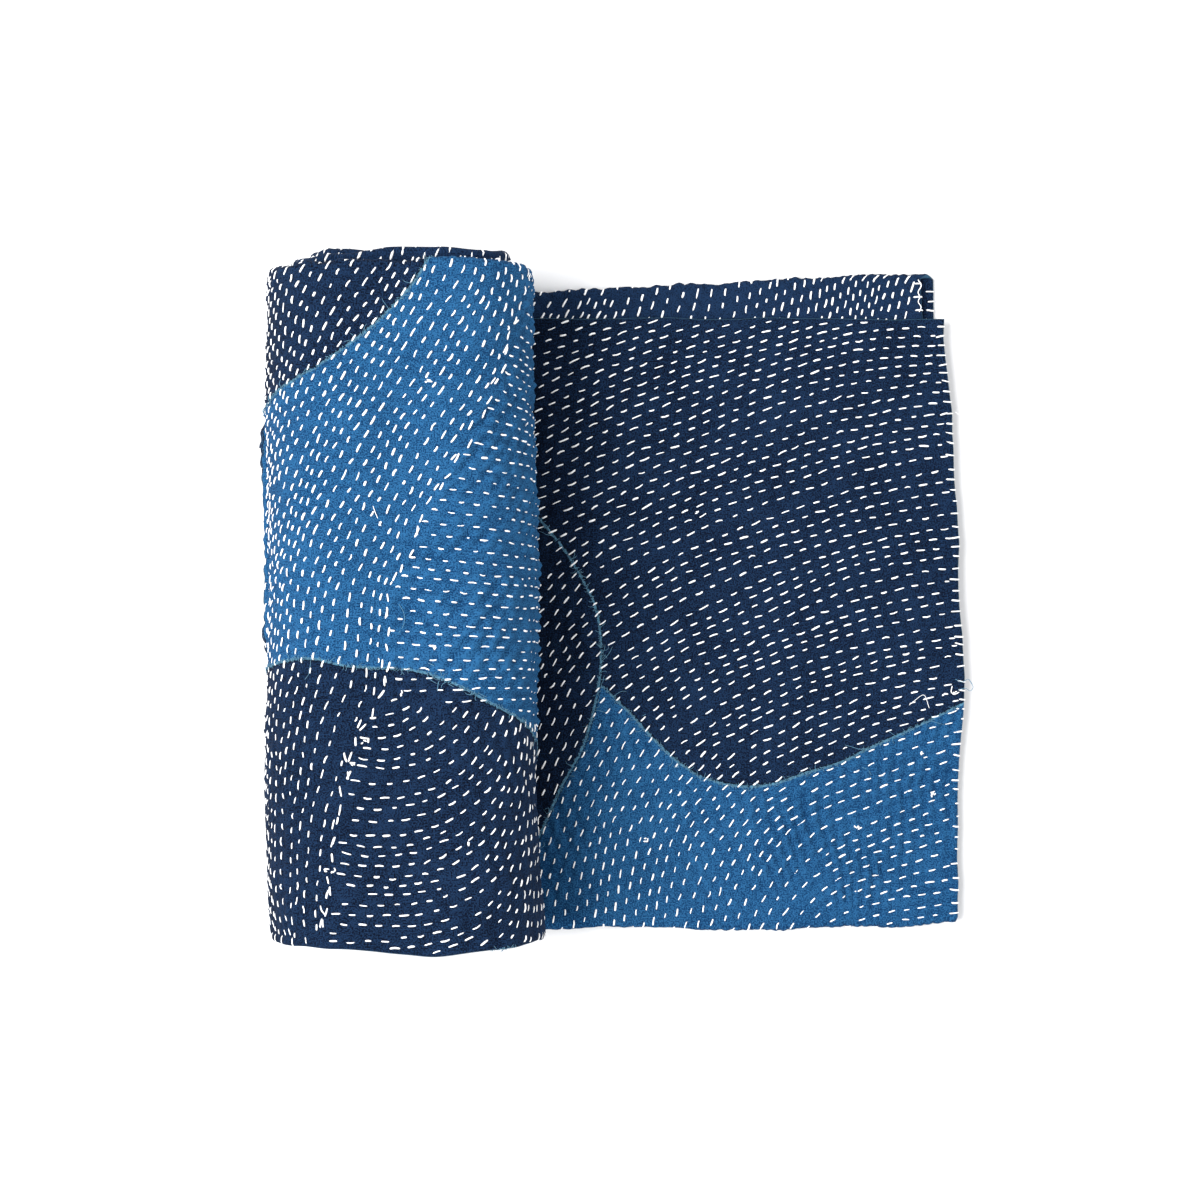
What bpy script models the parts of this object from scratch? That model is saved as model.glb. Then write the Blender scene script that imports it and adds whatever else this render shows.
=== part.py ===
"""A stitched patchwork quilt, folded in three along its length and rolled up from one end.

The quilt is one cloth, so it is one solid. Its cut is a long rectangle. Across its width
it is folded back and forth into three layers, a little apart. The folded strip starts at
the loose end, lies flat on the surface, passes under the roll, climbs its left side and
winds inwards. The rest of the file works those two bends out: the fold in the section
across the strip, and the roll in the path along it.

Metres, +Z up. +X runs from the roll to the loose end, and +Y is the far end of the roll.
The origin is the middle of the quilt's bounding box, on the surface that it lies on.
"""

import math
from collections import namedtuple

import bpy

# The cloth, and the air that its puckers hold between layers and between turns
THICKNESS = 0.0030
LAYER_GAP = 0.0010
TURN_GAP = 0.0017
LAYERS = 3

# The roll, seen from its end: half rounds joined by short straights
ROLL_RADIUS = 0.069
STRAIGHT_HALF = 0.019
HALF_ROUNDS = 9
INNER_END_DROOP = 0.004

# The loose end's furthest point, from the roll's middle
LOOSE_END_X = 0.3516

# Where the strip's two folds and its lower and upper free edges run, along its length
Side = namedtuple("Side", "along far_fold near_fold lower_free upper_free")
SIDES = (
    Side(0.000, 0.2085, -0.2060, -0.2020, 0.1785),
    Side(0.050, 0.2080, -0.2070, -0.2030, 0.1795),
    Side(0.110, 0.2055, -0.2095, -0.2055, 0.1795),
    Side(0.170, 0.2020, -0.2090, -0.2050, 0.1795),
    Side(0.270, 0.1975, -0.2095, -0.2055, 0.1790),
    Side(0.400, 0.2010, -0.2090, -0.2050, 0.1800),
    Side(0.480, 0.2020, -0.2080, -0.2085, 0.1800),
    Side(0.560, 0.2030, -0.2040, -0.2085, 0.1800),
    Side(0.610, 0.2035, -0.2085, -0.2135, 0.1800),
    Side(0.650, 0.2045, -0.2030, -0.2095, 0.1800),
    Side(0.690, 0.2030, -0.2055, -0.2085, 0.1800),
    Side(0.715, 0.1965, -0.2070, -0.2095, 0.1780),
    Side(0.760, 0.1960, -0.2090, -0.2060, 0.1760),
    Side(0.870, 0.2040, -0.2070, -0.2030, 0.1800),
    Side(1.050, 0.2110, -0.2030, -0.1990, 0.1850),
    Side(1.200, 0.2155, -0.2005, -0.1965, 0.1900),
    Side(1.350, 0.2130, -0.2015, -0.1975, 0.1900),
    Side(1.500, 0.2165, -0.1990, -0.1950, 0.1900),
    Side(1.900, 0.2110, -0.2040, -0.2000, 0.1850),
)

# How far each layer's end stops short of LOOSE_END_X
End = namedtuple("End", "layer y short")
ENDS = (
    End(0, -0.205, 0.0100),
    End(0, 0.205, 0.0190),
    End(1, 0.205, 0.0270),
    End(1, 0.100, 0.0200),
    End(1, -0.205, 0.0060),
    End(2, -0.205, 0.0045),
    End(2, -0.128, 0.0040),
    End(2, -0.060, 0.0000),
    End(2, 0.030, 0.0036),
    End(2, 0.105, 0.0080),
    End(2, 0.180, 0.0135),
)
ENDS_EVEN_OUT = 0.120

# How much wider the roll is at each place along itself, as a share of its width
Girth = namedtuple("Girth", "y grow")
GIRTHS = (
    Girth(-0.210, 0.036),
    Girth(-0.100, 0.010),
    Girth(0.000, 0.000),
    Girth(0.215, -0.008),
)
GIRTH_FADES = 0.110

# How far the roll's four shoulders stand out from an even round, as a share of its size
SHOULDERS = 0.08

# The settled roll's swells, as shares of its size, and the loose end's, as shares of its depth
Swell = namedtuple("Swell", "share around per_metre phase")
ROLL_SWELLS = (
    Swell(0.012, 1, 25.0, 0.0),
    Swell(0.012, 2, -9.0, 0.5),
    Swell(0.006, 3, 21.0, -1.0),
)
Ripple = namedtuple("Ripple", "share per_metre_x per_metre_y phase")
TAIL_RIPPLES = (
    Ripple(0.10, 23.0, 28.0, 0.3),
    Ripple(0.08, 39.0, -9.0, 1.9),
)
RIPPLES_RISE = 0.040

# Facets
OUTER_ARC_STEPS = 12
INNER_ARC_STEPS = 6
TAIL_STEPS = 11
FACE_STEPS = 5
FOLD_STEPS = 4
HEM = 0.0025
HEM_SHARE = 0.45
SHARP_ANGLE = math.radians(50)

FOLD_RADIUS = (THICKNESS + LAYER_GAP) / 2
PACK = LAYERS * THICKNESS + (LAYERS - 1) * LAYER_GAP
PITCH = PACK + TURN_GAP
ROLL_LEFT = -STRAIGHT_HALF - ROLL_RADIUS
ROLL_RIGHT = STRAIGHT_HALF + ROLL_RADIUS - 0.75 * PITCH
INDIGO = (0.016, 0.045, 0.115, 1.0)

PathStation = namedtuple("PathStation", "along middle radius angle")
ClothStation = namedtuple("ClothStation", "layer n y normal_n normal_y share")


def ease(share):
    """A smooth step from 0 to 1."""
    share = min(1.0, max(0.0, share))
    return share * share * (3 - 2 * share)


def between(rows, key, value, at):
    """The table's value at a place, eased from each row to the next."""
    for low, high in zip(rows, rows[1:]):
        start, end = sorted((getattr(low, key), getattr(high, key)))
        if start <= at <= end:
            share = ease((at - getattr(low, key)) / (getattr(high, key) - getattr(low, key)))
            return getattr(low, value) * (1 - share) + getattr(high, value) * share
    nearest = min(rows, key=lambda row: abs(getattr(row, key) - at))
    return getattr(nearest, value)


def side_at(along):
    """Where the folds and the free edges run at one place along the strip."""
    return Side(along, *(between(SIDES, "along", column, along) for column in Side._fields[1:]))


def fold(layer, n, y, way):
    """The stations round a fold, from the end of one layer to the start of the next."""
    stations = []
    for i in range(1, FOLD_STEPS):
        angle = math.pi * i / FOLD_STEPS
        height = n + FOLD_RADIUS * (1 - math.cos(angle))
        reach = y + way * FOLD_RADIUS * math.sin(angle)
        nearest = layer + (angle > math.pi / 2)
        stations.append(
            ClothStation(nearest, height, reach, way * math.cos(angle), -math.sin(angle), 1.0)
        )
    return stations


def section(side):
    """The folded section's stations, down the middle of the cloth.

    n is the height above the strip's outer face. The normal leaves the face of the cloth
    that is up in the loose end's top layer.
    """
    far = side.far_fold - FOLD_RADIUS - THICKNESS / 2
    near = side.near_fold + FOLD_RADIUS + THICKNESS / 2
    runs = ((side.lower_free, far), (far, near), (near, side.upper_free))
    stations = []
    for layer, (start, end) in enumerate(runs):
        n = THICKNESS / 2 + 2 * layer * FOLD_RADIUS
        way = 1 if end > start else -1
        places = [start + (end - start) * i / FACE_STEPS for i in range(FACE_STEPS + 1)]
        shares = [1.0] * len(places)
        if layer == 0:
            places.insert(1, start + HEM)
            shares.insert(0, HEM_SHARE)
        if layer == LAYERS - 1:
            places.insert(-1, end - HEM)
            shares.append(HEM_SHARE)
        stations += [
            ClothStation(layer, n, y, way, 0.0, share) for y, share in zip(places, shares)
        ]
        if layer < LAYERS - 1:
            stations += fold(layer, n, end, way)
    return stations


def path():
    """The strip's path, seen from the roll's near end.

    The angle is 0 at the bottom of the roll, and grows to the left, over the top and down
    the right.
    """
    flat_end = -STRAIGHT_HALF
    stations = []
    for i in range(TAIL_STEPS):
        x = LOOSE_END_X + (flat_end - LOOSE_END_X) * i / TAIL_STEPS
        stations.append(PathStation(LOOSE_END_X - x, x, ROLL_RADIUS, 0.0))
    along = LOOSE_END_X - flat_end
    for half in range(HALF_ROUNDS):
        middle = -STRAIGHT_HALF if half % 2 == 0 else STRAIGHT_HALF
        steps = max(INNER_ARC_STEPS, OUTER_ARC_STEPS - half)
        for i in range(steps + 1):
            angle = math.pi * (half + i / steps)
            radius = ROLL_RADIUS - PITCH * angle / (2 * math.pi)
            stations.append(PathStation(along, middle, radius, angle))
            along += math.pi / steps * radius if i < steps else 2 * STRAIGHT_HALF
    last = stations[-1]
    drooped = last.radius - INNER_END_DROOP
    stations.append(PathStation(along, -last.middle, drooped, last.angle))
    return stations


def end_setback(layer, y, along):
    """How far a layer's cloth starts behind the loose end's furthest point."""
    rows = [row for row in ENDS if row.layer == layer]
    return between(rows, "y", "short", y) * (1 - ease(along / ENDS_EVEN_OUT))


def settled(x, y, z):
    """Moves a point of the evenly wound quilt to where the real cloth has settled.

    The moves are smooth in space, so layers that lie apart stay apart. None of them lifts
    the underside off the surface.
    """
    fade = 1 - ease((x - ROLL_RIGHT) / GIRTH_FADES)
    x += between(GIRTHS, "y", "grow", y) * (x - ROLL_LEFT) * fade

    around = math.atan2(z - ROLL_RADIUS, x)
    swell = sum(
        s.share * math.cos(s.around * around + s.per_metre * y + s.phase) for s in ROLL_SWELLS
    )
    swell += SHOULDERS * (1 - math.cos(4 * around)) / 2
    in_roll = ease((z - 1.2 * PACK) / (3 * PACK))
    x += x * swell * in_roll
    z += (z - ROLL_RADIUS) * swell * in_roll

    ripple = sum(
        r.share * math.sin(r.per_metre_x * x + r.per_metre_y * y + r.phase) for r in TAIL_RIPPLES
    )
    z *= 1 + ripple * ease((x - ROLL_RIGHT) / RIPPLES_RISE)
    return x, y, z


def point(place, cloth, face):
    """A point on one face of the cloth: face is 1 for the one that the normal leaves."""
    half = face * THICKNESS / 2 * (HEM_SHARE if place.along == 0 else cloth.share)
    n = cloth.n + half * cloth.normal_n
    y = cloth.y + half * cloth.normal_y
    late = end_setback(cloth.layer, y, place.along) if place.angle == 0 else 0.0
    x = place.middle - late - (place.radius - n) * math.sin(place.angle)
    z = ROLL_RADIUS - (place.radius - n) * math.cos(place.angle)
    return settled(x, y, z)


def wound_solid():
    """The vertices and faces of the closed solid, ring by ring along the path."""
    vertices = []
    rings = 0
    for place in path():
        cloth = section(side_at(place.along))
        vertices += [point(place, station, -1) for station in cloth]
        vertices += [point(place, station, 1) for station in reversed(cloth)]
        rings += 1
    across = len(cloth)
    ring = 2 * across
    faces = []
    for j in range(rings - 1):
        here, there = j * ring, (j + 1) * ring
        for i in range(ring):
            k = (i + 1) % ring
            faces.append((here + k, here + i, there + i, there + k))
    last = (rings - 1) * ring
    for i in range(across - 1):
        other = ring - 1 - i
        faces.append((i, i + 1, other - 1, other))
        faces.append((last + i + 1, last + i, last + other, last + other - 1))
    return vertices, faces


def centred(vertices):
    """The same vertices about the bounding box's middle, with the lowest one at zero."""
    spans = [(min(v[k] for v in vertices), max(v[k] for v in vertices)) for k in range(3)]
    shift = (sum(spans[0]) / 2, sum(spans[1]) / 2, spans[2][0])
    return [tuple(v[k] - shift[k] for k in range(3)) for v in vertices]


def cloth_material():
    material = bpy.data.materials.new("indigo_cloth")
    material.use_nodes = True
    shader = material.node_tree.nodes["Principled BSDF"]
    shader.inputs["Base Color"].default_value = INDIGO
    shader.inputs["Roughness"].default_value = 0.9
    shader.inputs["Metallic"].default_value = 0.0
    return material


def build_quilt():
    vertices, faces = wound_solid()
    mesh = bpy.data.meshes.new("quilt")
    mesh.from_pydata(centred(vertices), [], faces)
    mesh.materials.append(cloth_material())
    mesh.shade_smooth()
    mesh.set_sharp_from_angle(angle=SHARP_ANGLE)
    quilt = bpy.data.objects.new("quilt", mesh)
    bpy.context.scene.collection.objects.link(quilt)
    return quilt


for old in list(bpy.data.objects):
    bpy.data.objects.remove(old)
build_quilt()
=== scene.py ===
"""A rolled patchwork quilt in two blues, with its running stitches and its raw-edged seams.

The quilt's two faces are laid on the folds and turns of its solid. Places on the cloth are
given by how far they are along the strip from its loose end, and how far across. Metres.
"""

import math
from collections import deque, namedtuple

import bpy
import numpy as np
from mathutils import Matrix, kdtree


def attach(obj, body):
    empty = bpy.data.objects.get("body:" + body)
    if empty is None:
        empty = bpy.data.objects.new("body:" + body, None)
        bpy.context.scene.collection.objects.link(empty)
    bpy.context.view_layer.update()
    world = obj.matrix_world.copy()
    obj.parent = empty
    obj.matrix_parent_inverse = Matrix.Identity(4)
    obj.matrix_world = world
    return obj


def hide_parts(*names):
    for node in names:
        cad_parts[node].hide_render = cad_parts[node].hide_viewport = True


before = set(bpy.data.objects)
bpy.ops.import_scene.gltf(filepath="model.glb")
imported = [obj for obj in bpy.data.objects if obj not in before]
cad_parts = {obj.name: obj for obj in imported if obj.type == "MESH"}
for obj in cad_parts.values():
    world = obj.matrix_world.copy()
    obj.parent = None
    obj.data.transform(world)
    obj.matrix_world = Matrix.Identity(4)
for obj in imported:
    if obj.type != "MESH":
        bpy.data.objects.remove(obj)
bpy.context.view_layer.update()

# The quilt's own sizes, as in its solid
THICKNESS = 0.0030
LAYER_GAP = 0.0010
TURN_GAP = 0.0017
LAYERS = 3
ROLL_RADIUS = 0.069
STRAIGHT_HALF = 0.019
HALF_ROUNDS = 9
INNER_END_DROOP = 0.004
LOOSE_END_X = 0.3516
ENDS_EVEN_OUT = 0.120
GIRTH_FADES = 0.110
RIPPLES_RISE = 0.040
OUTER_ARC_STEPS = 12
INNER_ARC_STEPS = 6
TAIL_STEPS = 11
HEM = 0.0015

FOLD_RADIUS = (THICKNESS + LAYER_GAP) / 2
HALF_TURN = math.pi * FOLD_RADIUS
PACK = LAYERS * THICKNESS + (LAYERS - 1) * LAYER_GAP
PITCH = PACK + TURN_GAP
ROLL_LEFT = -STRAIGHT_HALF - ROLL_RADIUS
ROLL_RIGHT = STRAIGHT_HALF + ROLL_RADIUS - 0.75 * PITCH

# The roll's middle, in the part's frame
ROLL_MIDDLE = np.array((-0.13242, -0.00163, 0.0))

Side = namedtuple("Side", "along far_fold near_fold lower_free upper_free")
SIDES = (
    Side(0.000, 0.2085, -0.2060, -0.2020, 0.1785),
    Side(0.050, 0.2080, -0.2070, -0.2030, 0.1795),
    Side(0.110, 0.2055, -0.2095, -0.2055, 0.1795),
    Side(0.170, 0.2020, -0.2090, -0.2050, 0.1795),
    Side(0.270, 0.1975, -0.2095, -0.2055, 0.1790),
    Side(0.400, 0.2010, -0.2090, -0.2050, 0.1800),
    Side(0.480, 0.2020, -0.2080, -0.2085, 0.1800),
    Side(0.560, 0.2030, -0.2040, -0.2085, 0.1800),
    Side(0.610, 0.2035, -0.2085, -0.2135, 0.1800),
    Side(0.650, 0.2045, -0.2030, -0.2095, 0.1800),
    Side(0.690, 0.2030, -0.2055, -0.2085, 0.1800),
    Side(0.715, 0.1965, -0.2070, -0.2095, 0.1780),
    Side(0.760, 0.1960, -0.2090, -0.2060, 0.1760),
    Side(0.870, 0.2040, -0.2070, -0.2030, 0.1800),
    Side(1.050, 0.2110, -0.2030, -0.1990, 0.1850),
    Side(1.200, 0.2155, -0.2005, -0.1965, 0.1900),
    Side(1.350, 0.2130, -0.2015, -0.1975, 0.1900),
    Side(1.500, 0.2165, -0.1990, -0.1950, 0.1900),
    Side(1.900, 0.2110, -0.2040, -0.2000, 0.1850),
)
End = namedtuple("End", "layer y short")
ENDS = (
    End(0, -0.205, 0.0100),
    End(0, 0.205, 0.0190),
    End(1, 0.205, 0.0270),
    End(1, 0.100, 0.0200),
    End(1, -0.205, 0.0060),
    End(2, -0.205, 0.0045),
    End(2, -0.128, 0.0040),
    End(2, -0.060, 0.0000),
    End(2, 0.030, 0.0036),
    End(2, 0.105, 0.0080),
    End(2, 0.180, 0.0135),
)
Girth = namedtuple("Girth", "y grow")
GIRTHS = (
    Girth(-0.210, 0.036),
    Girth(-0.100, 0.010),
    Girth(0.000, 0.000),
    Girth(0.215, -0.008),
)
Swell = namedtuple("Swell", "share around per_metre phase")
SHOULDERS = 0.08
ROLL_SWELLS = (
    Swell(0.012, 1, 25.0, 0.0),
    Swell(0.012, 2, -9.0, 0.5),
    Swell(0.006, 3, 21.0, -1.0),
)
Ripple = namedtuple("Ripple", "share per_metre_x per_metre_y phase")
TAIL_RIPPLES = (
    Ripple(0.10, 23.0, 28.0, 0.3),
    Ripple(0.08, 39.0, -9.0, 1.9),
)

# The photograph's camera, and the place under it from the roll's middle
PHOTO_SIDE = 1200
CAMERA_HEIGHT = 2.0
FLOOR_PER_PIXEL = 0.00064
PHOTO_MIDDLE_X = 0.1194
SENSOR_WIDTH = 36.0

# The cloth's two faces. The front is up in the loose end, and the back is outside the roll.
FRONT = 1
BACK = -1

# How a place in the photograph is met by the direction of the stitches there, in degrees
Guide = namedtuple("Guide", "px py angle")


def guides(*rows):
    return [Guide(*row) for row in rows]


TAIL_GUIDES = guides(
    (545, 330, 20), (545, 400, 24), (548, 450, 28), (548, 500, 22), (560, 600, 52),
    (545, 660, 57), (548, 720, 63), (560, 800, 66), (552, 860, 70), (550, 905, 82),
    (620, 330, 20), (640, 420, 22), (640, 520, 25), (620, 600, 33), (640, 650, 30),
    (720, 340, 18), (720, 450, 22), (720, 550, 23), (720, 650, 24), (650, 700, 34),
    (700, 720, 29), (810, 340, 14), (810, 450, 18), (810, 550, 19), (810, 650, 20),
    (780, 740, 25), (840, 720, 20), (900, 340, 4), (900, 420, 9), (900, 520, 11),
    (900, 620, 14), (900, 700, 17), (950, 350, 2), (950, 450, 5), (950, 550, 6),
    (955, 640, 7), (955, 690, 10), (600, 730, 62), (620, 760, 60), (660, 790, 54),
    (700, 810, 50), (740, 820, 52), (780, 800, 34), (820, 800, 22), (860, 800, 20),
    (910, 790, 20), (955, 770, 22), (620, 850, 74), (680, 860, 74), (740, 860, 70),
    (780, 860, 58), (810, 850, 36), (860, 850, 16), (910, 850, 17), (955, 840, 12),
    (600, 910, 83), (660, 910, 80), (720, 910, 76), (770, 910, 64), (810, 910, 52),
    (840, 905, 28), (870, 900, 12), (920, 900, 8), (955, 900, 5),
)
ROLL_LEFT_GUIDES = guides(
    (290, 282, 75), (325, 290, 66), (350, 280, 57), (400, 268, 52), (440, 262, 75),
    (480, 262, 82), (515, 268, 85), (275, 350, 84), (300, 320, 74), (350, 320, 58),
    (400, 325, 61), (440, 300, 60), (470, 310, 62), (505, 310, 78), (500, 345, 74),
    (270, 420, 78), (300, 400, 69), (350, 400, 60), (400, 400, 54), (450, 400, 57),
    (475, 400, 58), (270, 500, 78), (300, 500, 71), (350, 500, 63), (400, 500, 60),
    (430, 490, 58), (270, 580, 82), (300, 570, 76), (350, 570, 70), (385, 565, 66),
    (275, 640, 85), (300, 640, 82), (340, 620, 88), (375, 620, 89), (290, 665, 76),
    (330, 670, 75), (370, 670, 86), (280, 720, 84), (310, 710, 76), (345, 710, 66),
    (330, 750, 75), (300, 760, 83), (275, 760, 94), (335, 790, 73), (300, 800, 74),
    (278, 810, 86), (320, 835, 82), (290, 850, 86), (278, 890, 90), (310, 890, 82),
    (280, 932, 114), (310, 935, 95), (322, 915, 87),
)
ROLL_RIGHT_GUIDES = guides(
    (520, 350, -22), (505, 400, -15), (530, 420, -18), (480, 440, -10), (525, 470, -13),
    (450, 500, -9), (500, 500, -8), (530, 530, -10), (440, 560, -5), (490, 560, -5),
    (530, 580, -8), (410, 610, -3), (460, 610, -3), (510, 620, -5), (400, 650, -4),
    (450, 655, -2), (500, 660, 1), (530, 670, -6), (420, 685, 2), (480, 690, 4),
    (520, 695, -2),
)
ROLL_CORNER_GUIDES = guides(
    (383, 724, -5), (400, 722, 35), (420, 712, 50), (440, 712, 52), (460, 715, 55),
    (480, 715, 58), (505, 720, 68), (525, 730, 85), (538, 745, 95), (380, 748, -8),
    (400, 745, 18), (420, 740, 33), (440, 740, 42), (460, 745, 48), (490, 745, 56),
    (515, 750, 78), (535, 770, 92), (362, 760, -25), (385, 770, 0), (410, 765, 10),
    (440, 765, 30), (470, 765, 45), (500, 770, 60), (525, 780, 82), (355, 790, -20),
    (385, 795, 2), (420, 795, 12), (455, 795, 33), (485, 795, 42), (510, 800, 62),
    (532, 810, 88), (350, 822, -8), (385, 828, 3), (420, 820, 12), (450, 820, 28),
    (480, 825, 45), (510, 830, 62), (535, 835, 80), (345, 850, -20), (375, 858, -3),
    (405, 860, 5), (440, 850, 24), (470, 860, 44), (500, 865, 55), (530, 870, 75),
    (345, 880, -12), (380, 890, -4), (420, 890, 6), (450, 885, 22), (480, 885, 38),
    (510, 890, 56), (535, 900, 85), (340, 915, -2), (385, 925, -8), (420, 925, 6),
    (450, 920, 18), (480, 930, 28), (505, 925, 46), (530, 925, 80),
)
STRIP_GUIDES = guides(
    (545, 305, 55), (570, 300, 60), (600, 298, 64), (640, 298, 72), (700, 295, 76),
    (760, 295, 78), (820, 292, 76), (880, 295, 72), (915, 295, 68),
)

# Lines on the cloth, by where the photograph shows them
Spot = namedtuple("Spot", "px py")


def spots(*rows):
    return [Spot(*row) for row in rows]


RIGHT_ROWS_START = spots(
    (530, 262), (524, 290), (518, 316), (508, 345), (496, 385), (478, 421), (462, 452),
    (440, 486), (423, 512), (406, 555), (393, 583), (387, 624), (387, 662), (386, 686),
    (370, 712), (355, 739), (347, 777), (340, 815), (332, 853), (327, 904), (324, 930),
)
CORNER_ROWS_START = spots((384, 690), (420, 703), (460, 706), (500, 708), (530, 718))
TAIL_NAVY_SEAM = spots(
    (540, 520), (566, 553), (593, 602), (600, 645), (596, 690), (580, 746), (558, 786),
    (538, 826),
)
TAIL_ARC_SEAM = spots(
    (599, 685), (628, 713), (655, 742), (685, 768), (712, 781), (745, 787), (775, 784),
    (811, 772), (842, 763), (869, 750), (906, 733), (948, 712),
)
ROLL_FAR_SEAM = spots((427, 262), (409, 289), (366, 332), (308, 372), (270, 405))
ROLL_NEAR_SEAM = spots(
    (272, 666), (307, 658), (352, 666), (414, 670), (455, 684), (495, 705), (526, 723),
)


def ease(share):
    share = np.clip(share, 0.0, 1.0)
    return share * share * (3 - 2 * share)


def table_value(rows, key, value, at):
    """The table's value at each place, eased from each row to the next."""
    rows = sorted(rows, key=lambda row: getattr(row, key))
    keys = np.array([getattr(row, key) for row in rows])
    values = np.array([getattr(row, value) for row in rows])
    i = np.clip(np.searchsorted(keys, at) - 1, 0, len(keys) - 2)
    share = ease((at - keys[i]) / (keys[i + 1] - keys[i]))
    return values[i] * (1 - share) + values[i + 1] * share


def noise(x, y, scale, seed):
    """Smooth random values from -1 to 1, about one bump for each scale."""
    cells = 64
    grid = np.random.RandomState(seed).uniform(-1, 1, (cells, cells))
    u, v = np.broadcast_arrays(np.asarray(x) / scale, np.asarray(y) / scale)
    i, j = np.floor(u).astype(int), np.floor(v).astype(int)
    a, b = ease(u - i), ease(v - j)
    low = grid[i % cells, j % cells] * (1 - a) + grid[(i + 1) % cells, j % cells] * a
    high = grid[i % cells, (j + 1) % cells] * (1 - a) + grid[(i + 1) % cells, (j + 1) % cells] * a
    return low * (1 - b) + high * b


# An uneven waver: its size, its scale and its seed
Waver = namedtuple("Waver", "size scale seed")


def wavered(values, x, y, wavers, seed=0):
    """The values with each waver added, as it is at x and y."""
    for waver in wavers:
        values = values + waver.size * noise(x, y, waver.scale, seed + waver.seed)
    return values


CREASE_BEND = 0.003
CREASE_BEND_SCALE = 0.012
CREASES = (Waver(2.0, 0.010, 2), Waver(0.8, 0.006, 3))


def crumples(x, y, seed):
    """Sharp little creases between low humps, from -1 to 1."""
    bent_x = x + CREASE_BEND * noise(x, y, CREASE_BEND_SCALE, seed)
    bent_y = y + CREASE_BEND * noise(x, y, CREASE_BEND_SCALE, seed + 1)
    total = 0.0
    for crease in CREASES:
        rise = np.abs(noise(bent_x, bent_y, crease.scale, seed + crease.seed))
        total = total + crease.size * rise
    return total - 1


def unit(vectors):
    return vectors / np.maximum(np.linalg.norm(vectors, axis=-1, keepdims=True), 1e-12)


def path_table():
    """The strip's path as rows of along, middle, radius and angle, as in the solid."""
    flat_end = -STRAIGHT_HALF
    rows = []
    for i in range(TAIL_STEPS):
        x = LOOSE_END_X + (flat_end - LOOSE_END_X) * i / TAIL_STEPS
        rows.append((LOOSE_END_X - x, x, ROLL_RADIUS, 0.0))
    along = LOOSE_END_X - flat_end
    for half in range(HALF_ROUNDS):
        middle = -STRAIGHT_HALF if half % 2 == 0 else STRAIGHT_HALF
        steps = max(INNER_ARC_STEPS, OUTER_ARC_STEPS - half)
        for i in range(steps + 1):
            angle = math.pi * (half + i / steps)
            radius = ROLL_RADIUS - PITCH * angle / (2 * math.pi)
            rows.append((along, middle, radius, angle))
            along += math.pi / steps * radius if i < steps else 2 * STRAIGHT_HALF
    rows.append((along, -rows[-1][1], rows[-1][2] - INNER_END_DROOP, rows[-1][3]))
    return np.array(rows).T


PATH = path_table()
LENGTH = PATH[0][-1]


# How the folds, free edges and ends waver, each in its own row of the noise
FAR_ROW = 0.0
NEAR_ROW = 9.0
FREE_ROW = 4.0
FAR_WAVERS = (Waver(0.0008, 0.012, 1), Waver(0.0008, 0.035, 2))
INNER_WAVERS = (Waver(0.0024, 0.045, 3), Waver(0.0012, 0.019, 9))
NEAR_WAVERS = (Waver(0.0008, 0.013, 4), Waver(0.0010, 0.040, 5))
UPPER_WAVERS = (Waver(0.0006, 0.011, 6), Waver(0.0006, 0.040, 7))
LOWER_WAVERS = (Waver(0.0006, 0.015, 8),)
INNER_TURNS_FROM = 0.80
INNER_TURNS_EASE = 0.1
END_WAVER = 0.0006


def folds(s):
    """Where the far fold ends and the near fold starts to bend, along the strip."""
    far = wavered(table_value(SIDES, "along", "far_fold", s), s, FAR_ROW, FAR_WAVERS)
    inner = ease((s - INNER_TURNS_FROM) / INNER_TURNS_EASE)
    far = far + inner * wavered(0.0, s, FAR_ROW, INNER_WAVERS)
    near = wavered(table_value(SIDES, "along", "near_fold", s), s, NEAR_ROW, NEAR_WAVERS)
    bend = FOLD_RADIUS + THICKNESS / 2
    return far - bend, near + bend


def free_edges(s):
    """The lowest and the highest place across the cloth, each as y on its own layer."""
    lower = wavered(table_value(SIDES, "along", "lower_free", s), s, FREE_ROW, LOWER_WAVERS)
    upper = wavered(table_value(SIDES, "along", "upper_free", s), s, FREE_ROW, UPPER_WAVERS)
    return lower, upper


def unfold(s, q, face):
    """How far across the cloth from the lowest layer's y = 0. q is y on the front's or back's
    own layer: the front's is the highest layer and the back's is the lowest."""
    far, near = folds(s)
    return q + np.where(np.equal(face, FRONT), 2 * (far - near + HALF_TURN), 0.0)


def inside_edges(s, walk):
    """How far inside the cloth's two long free edges a place is."""
    lower, upper = free_edges(s)
    return np.minimum(walk - lower, unfold(s, upper, FRONT) - walk)


def settled(x, y, z):
    """Where the settled cloth has a point of the evenly wound quilt, as in the solid."""
    fade = 1 - ease((x - ROLL_RIGHT) / GIRTH_FADES)
    x = x + table_value(GIRTHS, "y", "grow", y) * (x - ROLL_LEFT) * fade
    around = np.arctan2(z - ROLL_RADIUS, x)
    swell = sum(
        s.share * np.cos(s.around * around + s.per_metre * y + s.phase) for s in ROLL_SWELLS
    )
    swell += SHOULDERS * (1 - np.cos(4 * around)) / 2
    in_roll = ease((z - 1.2 * PACK) / (3 * PACK))
    x = x + x * swell * in_roll
    z = z + (z - ROLL_RADIUS) * swell * in_roll
    ripple = sum(
        r.share * np.sin(r.per_metre_x * x + r.per_metre_y * y + r.phase) for r in TAIL_RIPPLES
    )
    z = z * (1 + ripple * ease((x - ROLL_RIGHT) / RIPPLES_RISE))
    return x, y, z


# Cloth that would reach below this height keeps only a share of its depth
FLOOR_GAP = 0.0002
FLOOR_GIVES = 0.1


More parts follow.
